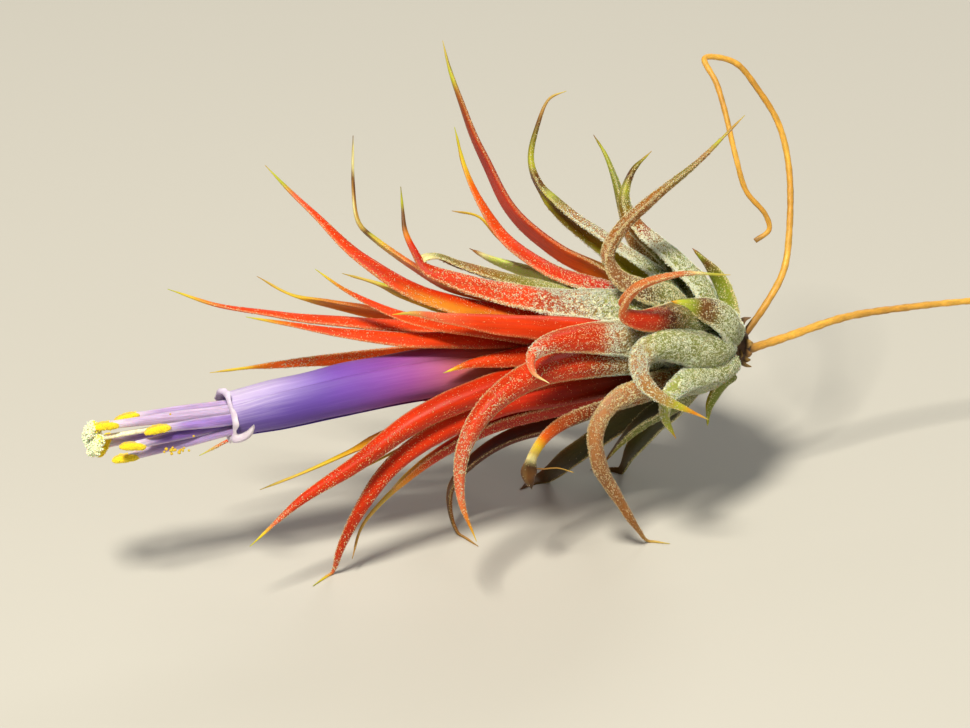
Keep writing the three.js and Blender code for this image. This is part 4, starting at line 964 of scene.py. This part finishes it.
def petal(index):
    """A petal that rolls round the tube, one long edge under its neighbour, and turns back at the mouth."""
    rng = seeded("petal", index)
    body, q = np.linspace(0, 1, PETAL_ROWS), np.linspace(-1, 1, PETAL_COLUMNS)
    line, along, out, side, length = tube_frames(body)
    span = 146 - 12 * smooth(body, 0.85, 1)
    turn = 2 * math.pi * index / 3 + q / 2 * np.radians(span)[:, None]
    pleat = np.sin(turn * 11 + index) * 0.5 + np.sin(turn * 17 + 2) * 0.3
    pleat = 0.03 * smooth(body, 0.72, 1)[:, None] * pleat
    soft = wave(rng, body * length, (9, 17), 0.05)[:, None] + 0.05 * np.sin(2 * turn + 6 * body[:, None])
    reach = (along_table(body, TUBE_OUTSIDE) - 0.12)[:, None] + q * 0.16 + pleat + soft
    normal = oval(out[:, None], side[:, None], turn)
    grid = line[:, None] + normal * reach[..., None]
    # The lobe beyond the mouth curls outward, furthest at its point.
    lobe, curl, furthest, twist = LOBES[index](q)
    lobe = lobe * (1 + wave(rng, q, (0.4, 0.9), 0.14)) * (0.55 + 0.45 * smooth(1 - np.abs(q), 0, 0.12))
    step = np.arange(1, LOBE_ROWS + 1)[:, None]
    arc = lobe * step / LOBE_ROWS
    angle = np.minimum(arc / curl, furthest)
    straight = arc - curl * angle
    ahead = curl * np.sin(angle) + straight * np.cos(angle)
    outward = curl * (1 - np.cos(angle)) + straight * np.sin(angle)
    ripple = 0.12 * (np.sin(q * 9 + index * 2) + 0.6 * np.sin(q * 17 + 1)) * step / LOBE_ROWS
    end_out = oval(out[-1], side[-1], turn[-1] + twist * (step / LOBE_ROWS) ** 2)
    lip = line[-1] + along[-1] * ahead[..., None] + end_out * (reach[-1] + outward + ripple)[..., None]
    lip_normal = unit(end_out * np.cos(angle)[..., None] - along[-1] * np.sin(angle)[..., None])
    grid, normal = np.concatenate([grid, lip]), np.concatenate([normal, lip_normal])
    share = np.concatenate([body, 1 + LOBE_SHARE * step[:, 0] / LOBE_ROWS])
    wall = PETAL_WALL * (1 - 0.4 * smooth(share, 1, 1.3))[:, None] * (1 - 0.6 * np.abs(q) ** 6)
    aside = normal * wall[..., None]
    points = np.stack([grid + aside, grid - aside]).reshape(-1, 3)
    # Painted light round the tube: a painted highlight on its lit top toward the mouth, mixed to pale lilac,
    # and painted shade on its underside, mixed to deep violet.
    round_tube = 2 * math.pi * index / 3 + q / 2 * np.radians(140)
    lit, shaded, lit_veins = (np.maximum(np.cos(round_tube + shift), 0) for shift in (0.15, 2.2, 0.2))
    painted_highlight = lit ** 1.3 * smooth(share, 0.66, 0.95)[:, None]
    low = shaded * (smooth(share, 0.45, 0.85) * fade(share, 0.97, 1.04))[:, None]
    tint = mixed(colour_along(PETAL_TINTS, share)[:, None], "cdbfe6", 0.75 * painted_highlight)
    tint = mixed(tint, "4c2a86", 0.6 * low).reshape(-1, 3)
    lay = spread(q * 3.6 + 9 * index, share[:, None] * length, 0)
    # Pale veins toward the mouth: their own colour, made stronger on the lit side by a painted highlight.
    pale = 0.04 + 0.8 * smooth(share, 0.78, 1)[:, None] * (0.1 + 0.9 * lit_veins)
    faces, uv = sheet_faces(len(share), PETAL_COLUMNS)
    make(f"tube_petal_{index + 1}", points, faces, PETAL, "petal", f"petal_{index + 1}", uv=uv,
         tint=np.tile(tint, (2, 1)), lay=np.tile(lay, (2, 1)), down=np.tile(pale.ravel(), 2))


for index in range(len(LOBES)):
    petal(index)


def calyx():
    """Three pointed sepals, joined low down round the foot of the tube."""
    rows, columns, steps = 26, 44, 200
    line, _, out, side, length = tube_frames(np.linspace(0, 1, steps))
    turn, s = full_turn(columns), np.linspace(0, 1, rows)[:, None]
    face = np.array([1, -1])[:, None, None]
    at = s * SEPAL_SHARE * (0.62 + 0.38 * np.abs(np.cos(1.5 * turn)) ** 0.7)
    low = np.floor(at * (steps - 1)).astype(int)
    centre = mixed(line[low], line[low + 1], at * (steps - 1) - low)
    reach = along_table(at, TUBE_OUTSIDE) + SEPAL_GAP + 0.12 * np.abs(np.sin(1.5 * turn)) + face * SEPAL_WALL
    points = centre + oval(out[low], side[low], turn) * reach[..., None]
    tint = mixed("9a8f5a", "7a4a28", np.broadcast_to(smooth(s, 0.6, 1), reach.shape))
    outer, inner = np.arange(2 * rows * columns).reshape(2, rows, columns)
    faces = []
    for i in range(rows - 1):
        for j in range(columns):
            k = (j + 1) % columns
            faces.append((outer[i, j], outer[i, k], outer[i + 1, k], outer[i + 1, j]))
            faces.append((inner[i, j], inner[i + 1, j], inner[i + 1, k], inner[i, k]))
    for i, order in ((0, 1), (rows - 1, -1)):
        for j in range(columns):
            k = (j + 1) % columns
            faces.append((outer[i, j], inner[i, j], inner[i, k], outer[i, k])[::order])
    make("sepals", points.reshape(-1, 3), faces, CALYX, "calyx", "calyx",
         tint=tint.reshape(-1, 3), lay=spread(turn * 2, at * length, face))


calyx()


def swept(points, rings, sides, half, facing, rng=None, rough=0.0):
    """Closed tube through points: its points, faces, lay, shares of the length and uv.

    half gives the half width and half thickness at a share of the length.
    """
    shares = np.linspace(0, 1, rings)
    line, length = spline(points, shares)
    _, out, side = frames_along(line, facing)
    turn = full_turn(sides)
    wide, thick = half(shares)
    if rng is not None:
        bumps = 1 + wave(rng, shares * length, (1.3, 2.9, 6.1), rough)
        wide, thick = wide * bumps, thick * bumps
    wide, thick = wide[:, None], thick[:, None]
    ring = line[:, None] + oval(side[:, None], -out[:, None], turn, wide, thick)
    lay = spread(np.cos(turn) * wide, (shares * length)[:, None], np.sin(turn) * thick)
    faces, uv = ring_faces(rings, sides)
    return ring.reshape(-1, 3), faces, lay, np.repeat(shares, sides), uv


def grain_mesh(centre, radius, code):
    """A small round grain of pollen with twelve corners and twenty faces."""
    golden = (1 + 5**0.5) / 2
    corners = unit(np.array([
        (-1, golden, 0), (1, golden, 0), (-1, -golden, 0), (1, -golden, 0), (0, -1, golden), (0, 1, golden),
        (0, -1, -golden), (0, 1, -golden), (golden, 0, -1), (golden, 0, 1), (-golden, 0, -1),
        (-golden, 0, 1)]))
    faces = [(0, 11, 5), (0, 5, 1), (0, 1, 7), (0, 7, 10), (0, 10, 11), (1, 5, 9), (5, 11, 4), (11, 10, 2),
             (10, 7, 6), (7, 1, 8), (3, 9, 4), (3, 4, 2), (3, 2, 6), (3, 6, 8), (3, 8, 9), (4, 9, 5),
             (2, 4, 11), (6, 2, 10), (8, 6, 7), (9, 8, 1)]
    return centre + corners * radius, faces, corners * radius, np.tile(linear(code), (len(corners), 1))


# Each filament's height over the tube's axis and depth to the near side at the mouth, and its colour.
RIBBONS = [
    (0.7, 0.5, "b7a3cc"), (1.0, -0.6, "a890c4"), (-0.4, -0.9, "8f70ba"), (-1.6, 0.5, "a58cc4"),
    (-0.95, 0.1, "6f4aa0"), (-0.25, 1.2, "9375c2"),
]
# Pollen fallen on the ribbons: where it lies, how far it drifts, and how many grains.
FALLEN_POLLEN = [
    ((65.2, -7.9, 20.6), (0.1, 0.02, 0.02), 1),
    ((62.6, -10.4, 19.5), (0.1, 0.02, 0.02), 1),
    ((64.6, -12, 19.6), (0.8, 0.1, 0.1), 18),
]
RIBBON_RINGS = 90
RIBBON_SIDES = 16


def ribbon(index, line, out, side):
    """One filament, from low in the tube to its anther: points, faces, lay and tint."""
    height, depth, tone = RIBBONS[index]
    turn = 2 * math.pi * index / len(ANTHERS)
    radial = out * math.cos(turn) + side * math.sin(turn)
    path = [line[i] + radial[i] * 0.9 for i in (5, 8)]
    path += [line[i] + out[i] * height - side[i] * depth for i in (11, 14)]
    end = place(ANTHERS[index][0])
    path += [(path[-1] + end) / 2, end + unit(path[-1] - end) * 0.45]
    shares, turns = np.linspace(0, 1, RIBBON_RINGS), full_turn(RIBBON_SIDES)
    track, length = spline(path, shares)
    tangent, outward, _ = frames_along(track, unit(path[0] - line[5]))
    broad = (0.32 + 0.34 * smooth(shares, 0.35, 0.62) * (1 - 0.5 * smooth(shares, 0.8, 0.98)))[:, None]
    near = unit(NEAR - tangent * (tangent @ NEAR)[:, None])
    face = unit(mixed(outward, near, smooth(shares, 0.3, 0.6)))
    across = np.cross(tangent, face)
    cup = (0.15 * np.sin(turns) - 0.12 * np.cos(2 * turns)) * np.minimum(1, 1.2 * broad / 0.66)
    wide = broad * np.cos(turns)
    ring = track[:, None] + across[:, None] * wide[..., None] + face[:, None] * cup[..., None]
    lay = spread(wide + 3 * index, (shares * length)[:, None], 0)
    edge = np.tile(smooth(np.abs(np.cos(turns)), 0.6, 1.0), RIBBON_RINGS)
    share = np.repeat(shares, RIBBON_SIDES)
    tint = mixed(mixed(tone, "d9cbe4", edge * 0.5), "dfd6e2",
                 0.5 * fade(share, 0.45, 0.75) + smooth(share, 0.9, 1) * 0.7)
    return ring.reshape(-1, 3), ring_faces(RIBBON_RINGS, RIBBON_SIDES)[0], lay, tint


def filaments():
    """Six flat ribbons side by side, which turn their broad faces to the near side at the mouth."""
    line, _, out, side, _ = tube_frames(np.linspace(0, 1, 15))
    parts = [ribbon(index, line, out, side) for index in range(len(ANTHERS))]
    rng = seeded("pollen")
    for at, drift, count in FALLEN_POLLEN:
        for _ in range(count):
            centre = place(at) + rng.normal(0, 1, 3) * drift
            parts.append(grain_mesh(centre, rng.uniform(0.12, 0.24), "d8b408"))
    make_joined("ribbon_filaments", parts, FILAMENT, "filament", "filaments")


filaments()

ANTHER_RINGS = 34
ANTHER_SIDES = 28
ANTHER_HALF = 1.6
ANTHER_BOW = 0.14
FURROW_DEPTH = 0.34
ANTHER_GRAINS = 46


def anther(index):
    """A split anther: two long lobes with a furrow between them, rough with pollen."""
    rng = seeded("anther", index)
    at, lie = (place(value) for value in ANTHERS[index])
    lie = unit(lie)
    across, above = across_and_above(lie)
    s = np.linspace(-1, 1, ANTHER_RINGS + 2)[1:-1]
    turn = full_turn(ANTHER_SIDES)
    body = (1 - np.abs(s) ** 2.6)[:, None] ** 0.5
    furrow = 1 - FURROW_DEPTH * np.exp(-((np.abs(np.sin(turn)) - 1) / 0.16) ** 2)
    reach = 0.7 * body * furrow * (1 + rng.normal(0, 0.045, (ANTHER_RINGS, ANTHER_SIDES)))
    bow = ANTHER_BOW * (s**2)[:, None]
    grid = (lie * (s * ANTHER_HALF)[:, None, None] + across * (reach * np.cos(turn) * 1.02)[..., None]
            + above * (reach * np.sin(turn) * 0.86 - bow)[..., None])
    ends = [lie * end - above * ANTHER_BOW for end in (-ANTHER_HALF - 0.02, ANTHER_HALF + 0.02)]
    points = at + np.vstack([grid.reshape(-1, 3), ends])
    faces, _ = ring_faces(ANTHER_RINGS, ANTHER_SIDES, closed_start=False, tip=len(points) - 1)
    faces += [(j, len(points) - 2, (j + 1) % ANTHER_SIDES) for j in range(ANTHER_SIDES)]
    # Painted shade: the anther is mixed darker down in its furrow.
    painted_furrow_shade = np.append(np.tile(0.55 * (1 - furrow) / FURROW_DEPTH, ANTHER_RINGS), [0, 0])
    parts = [(points, faces, points - at, mixed("fbdc04", "b98204", painted_furrow_shade))]
    for _ in range(ANTHER_GRAINS):
        i, j = rng.integers(ANTHER_RINGS), rng.integers(ANTHER_SIDES)
        parts.append(grain_mesh(points[i * ANTHER_SIDES + j], rng.uniform(0.05, 0.1), "fde41a"))
    make_joined(f"pollen_anther_{index + 1}", parts, ANTHER, "anther", f"anther_{index + 1}")


for index in range(len(ANTHERS)):
    anther(index)

STYLE_HALF = 0.3
STIGMA_LOBES = 3
PAPILLAE = 560


def style_half(t):
    """Half width and half thickness of the style, which swells at the ovary."""
    half = STYLE_HALF + 0.12 * np.clip(1 - np.abs(t * 16 - 0.6), 0, 1)
    return half, half


def lobe_half(t):
    """Half width and half thickness of a lobe of the stigma."""
    swell = np.sin(np.pi * (0.12 + 0.84 * t)) ** 0.6
    return 0.74 * swell, 0.64 * swell


def pistil():
    """Ovary, style, and a stigma of three twisted lobes thick with papillae and pollen."""
    rng = seeded("pistil")
    line = tube_frames(np.linspace(0, 1, 15))[0]
    stigma = place(STIGMA)
    path = [AXIS * OVARY_STATION, line[2], line[7], line[-1], stigma]
    *style, share, _ = swept(path, 90, 12, style_half, UPWARD)
    parts = [(*style, mixed("dfe0a8", "f1eed2", share))]
    lie = unit(stigma - line[-1])
    across, above = across_and_above(lie)
    s = np.linspace(0, 1, 9)
    for k in range(STIGMA_LOBES):
        turn = 2 * math.pi * k / STIGMA_LOBES + 0.5 + 2.2 * s
        reach = 0.15 + 1.1 * np.sin(s * 2.0)
        spiral = stigma + lie * (s * 1.3 - 0.9)[:, None] + oval(across, above, turn, reach, 1.15 * reach)
        *lobe, share, _ = swept(spiral, 36, 14, lobe_half, above, rng, 0.12)
        parts.append((*lobe, mixed("e0d944", "eaeab4", smooth(share, 0.1, 0.4))))
        for _ in range(PAPILLAE):
            root = lobe[0][rng.integers(len(lobe[0]))]
            ahead = lie.dot(root - stigma)
            dusted = rng.random() < 0.45 * np.exp(-ahead**2) * (ahead < -0.4)
            tone = "f0d81a" if dusted else "f3f2cc"
            parts.append(grain_mesh(root + rng.normal(0, 0.09, 3), rng.uniform(0.07, 0.15), tone))
    make_joined("style_and_stigma", parts, PISTIL, "pistil", "pistil")


pistil()


def dry_thread():
    """The thin dry thread that the amber-tipped leaf's crumpled end still carries."""
    path = place([(24, -14.2, 11.9), (22.8, -14.3, 12), (21, -14.2, 11.9), (19.2, -14.7, 11.6)])
    points, faces, lay, share, uv = swept(path, 30, 10, lambda t: (0.17 - 0.11 * t, 0.1 - 0.05 * t), UPWARD)
    make("amber_tipped_thread", points, faces, LEAF_MATERIALS["bronze"], "leaf_bronze", uv=uv,
         tint=mixed("5a3c1a", "c09446", share), lay=lay, down=np.zeros(len(points)))


dry_thread()

# ---- Stem and roots ----

STEM_RINGS = 90
STEM_SIDES = 48
FOOT_BRACTS = 12
BRACT_TONES = ("8a6430", "6b4a20", "a58242")


def stem():
    """A short woody axis, ribbed with the stumps of old leaves, and ragged at its foot."""
    rng = seeded("stem")
    station = np.linspace(STEM_PROFILE[0][0], STEM_PROFILE[-1][0], STEM_RINGS)[:, None]
    turn = full_turn(STEM_SIDES)
    across, above = across_and_above(AXIS)
    ribs = 0.1 * np.sin(turn * 9 + 1.3) + 0.07 * np.sin(turn * 17)
    ribs = ribs + rng.normal(0, 0.035, (STEM_RINGS, STEM_SIDES))
    scars = 0.12 * np.maximum(np.sin(station * 2.2 + turn * 2), 0) ** 3
    radius = along_table(station, STEM_PROFILE)
    reach = radius + (ribs + scars - 0.12) * np.minimum(radius / 2.3, 1)
    grid = AXIS * station[..., None] + oval(across, above, turn, reach, reach)
    points = np.vstack([grid.reshape(-1, 3), grid[0].mean(0) - AXIS * 0.15])
    faces, _ = ring_faces(STEM_RINGS, STEM_SIDES, closed_start=False)
    faces += [(j, len(points) - 1, (j + 1) % STEM_SIDES) for j in range(STEM_SIDES)]
    lay = np.vstack([spread(turn * 2.3, station, 0), [0, -1.6, 0]])
    height = lay[:, 1]
    tint = mixed(mixed("6b4a2c", "8c8a52", smooth(height, 4, 12)), "2e1c10", fade(height, -1, 1.5) * 0.7)
    parts = [(points, faces, lay, tint)]
    for _ in range(FOOT_BRACTS):
        at, from_foot = rng.uniform(0, 2 * math.pi), rng.uniform(-0.7, 1.8)
        outward = across * math.cos(at) + above * math.sin(at)
        root = AXIS * from_foot + outward * (along_table(from_foot, STEM_PROFILE) - 0.5)
        long = rng.uniform(1.4, 2.6)
        end = root + outward * rng.uniform(0.3, 0.6) * long - AXIS * rng.uniform(-0.1, 0.75) * long
        middle = (root + end) / 2 + outward * rng.uniform(0.2, 0.6)
        broad = rng.uniform(0.7, 1.2)
        *bract, share, _ = swept(
            [root, middle, end], 16, 10, lambda t: (broad * (1 - t) ** 0.6 + 0.04, 0.09 - 0.05 * t), outward,
            rng, 0.3)
        tone = BRACT_TONES[rng.integers(len(BRACT_TONES))]
        parts.append((*bract, mixed("3e2412", tone, smooth(share, 0, 0.8))))
    make_joined("woody_stem", parts, STEM, "stem", "stem")


stem()


def root(index, name):
    """A wiry root, banded along its length and dark at both ends."""
    rng = seeded("root", index)
    radius, path = ROOTS[name]
    line = place(path)
    line[1:-1] += rng.normal(0, 0.12, line[1:-1].shape)
    points, faces, lay, share, uv = swept(
        line, 60 + 24 * len(path), 16, lambda t: 2 * (radius * (1 - 0.3 * t),), UPWARD, rng, 0.1)
    bands = 0.5 + 0.5 * np.sin(share * len(path) * 1.7 + index * 2)
    dark = fade(share, 0, 0.06) * 0.8 + smooth(share, 0.97, 1) * 0.7
    keep_above(points, CLEARANCE)
    make(f"wiry_{name}", points, faces, ROOT, "root", name, uv=uv,
         tint=mixed(mixed("d9a53a", "a8741f", 0.6 * bands), "5e3a14", dark), lay=lay)


for index, name in enumerate(ROOTS):
    root(index, name)

# ---- Floor, light and camera ----

FLOOR_HALF = 5
LIGHTS_AIM = (0, 0, 0.02)
PHOTO_WIDTH = 970
# The photograph's focal length, in its own pixels.
FOCAL = 5100
SENSOR = 36
CAMERA_DISTANCE = 0.6


def floor():
    """The plain surface that the plant rests on."""
    g = Graph("floor")
    g.set(Base_Color=rgba("bbbab5"), Roughness=0.8, Specular_IOR_Level=0.2)
    mesh = bpy.data.meshes.new("floor")
    corners = [(x * FLOOR_HALF, y * FLOOR_HALF, 0) for x, y in ((-1, -1), (1, -1), (1, 1), (-1, 1))]
    mesh.from_pydata(corners, [], [(0, 1, 2, 3)])
    mesh.materials.append(g.material)
    ground = bpy.data.objects.new("floor", mesh)
    bpy.context.collection.objects.link(ground)


floor()


def area_light(name, where, size, power, colour):
    """A round lamp, metres and watts, that shines on the plant."""
    light = bpy.data.lights.new(name, "AREA")
    light.shape = "DISK"
    light.size = size
    light.energy = power
    light.color = colour
    lamp = bpy.data.objects.new(name, light)
    lamp.location = where
    lamp.rotation_mode = "QUATERNION"
    lamp.rotation_quaternion = Vector(np.array(LIGHTS_AIM) - where).to_track_quat("-Z", "Y")
    bpy.context.collection.objects.link(lamp)


area_light("key", (-0.16, -0.40, 0.75), 0.16, 10.4, (1.0, 0.925, 0.77))
area_light("fill", (0.75, -0.5, 0.35), 0.6, 1.0, (1.0, 0.96, 0.9))
area_light("rim", (0.3, 0.7, 0.55), 0.4, 2.2, (1.0, 0.97, 0.9))

world = bpy.data.worlds.new("studio")
world.use_nodes = True
world.node_tree.nodes["Background"].inputs["Color"].default_value = (0.9, 0.89, 0.85, 1)
world.node_tree.nodes["Background"].inputs["Strength"].default_value = 0.225
bpy.context.scene.world = world
bpy.context.scene.view_settings.view_transform = "Standard"

# The photograph's view: looking down by LEAN at a point along the plant.
target = FOOT + place((29.4, -2.2, 0)) / 1000
camera = bpy.data.objects.new("camera", bpy.data.cameras.new("camera"))
camera.data.sensor_fit = "HORIZONTAL"
camera.data.sensor_width = SENSOR
camera.data.lens = FOCAL * SENSOR / PHOTO_WIDTH
camera.data.clip_start = 0.05
camera.location = target + CAMERA_DISTANCE * np.array([0, -math.cos(LEAN), math.sin(LEAN)])
camera.rotation_euler = (math.pi / 2 - LEAN, 0, 0)
bpy.context.collection.objects.link(camera)
bpy.context.scene.camera = camera
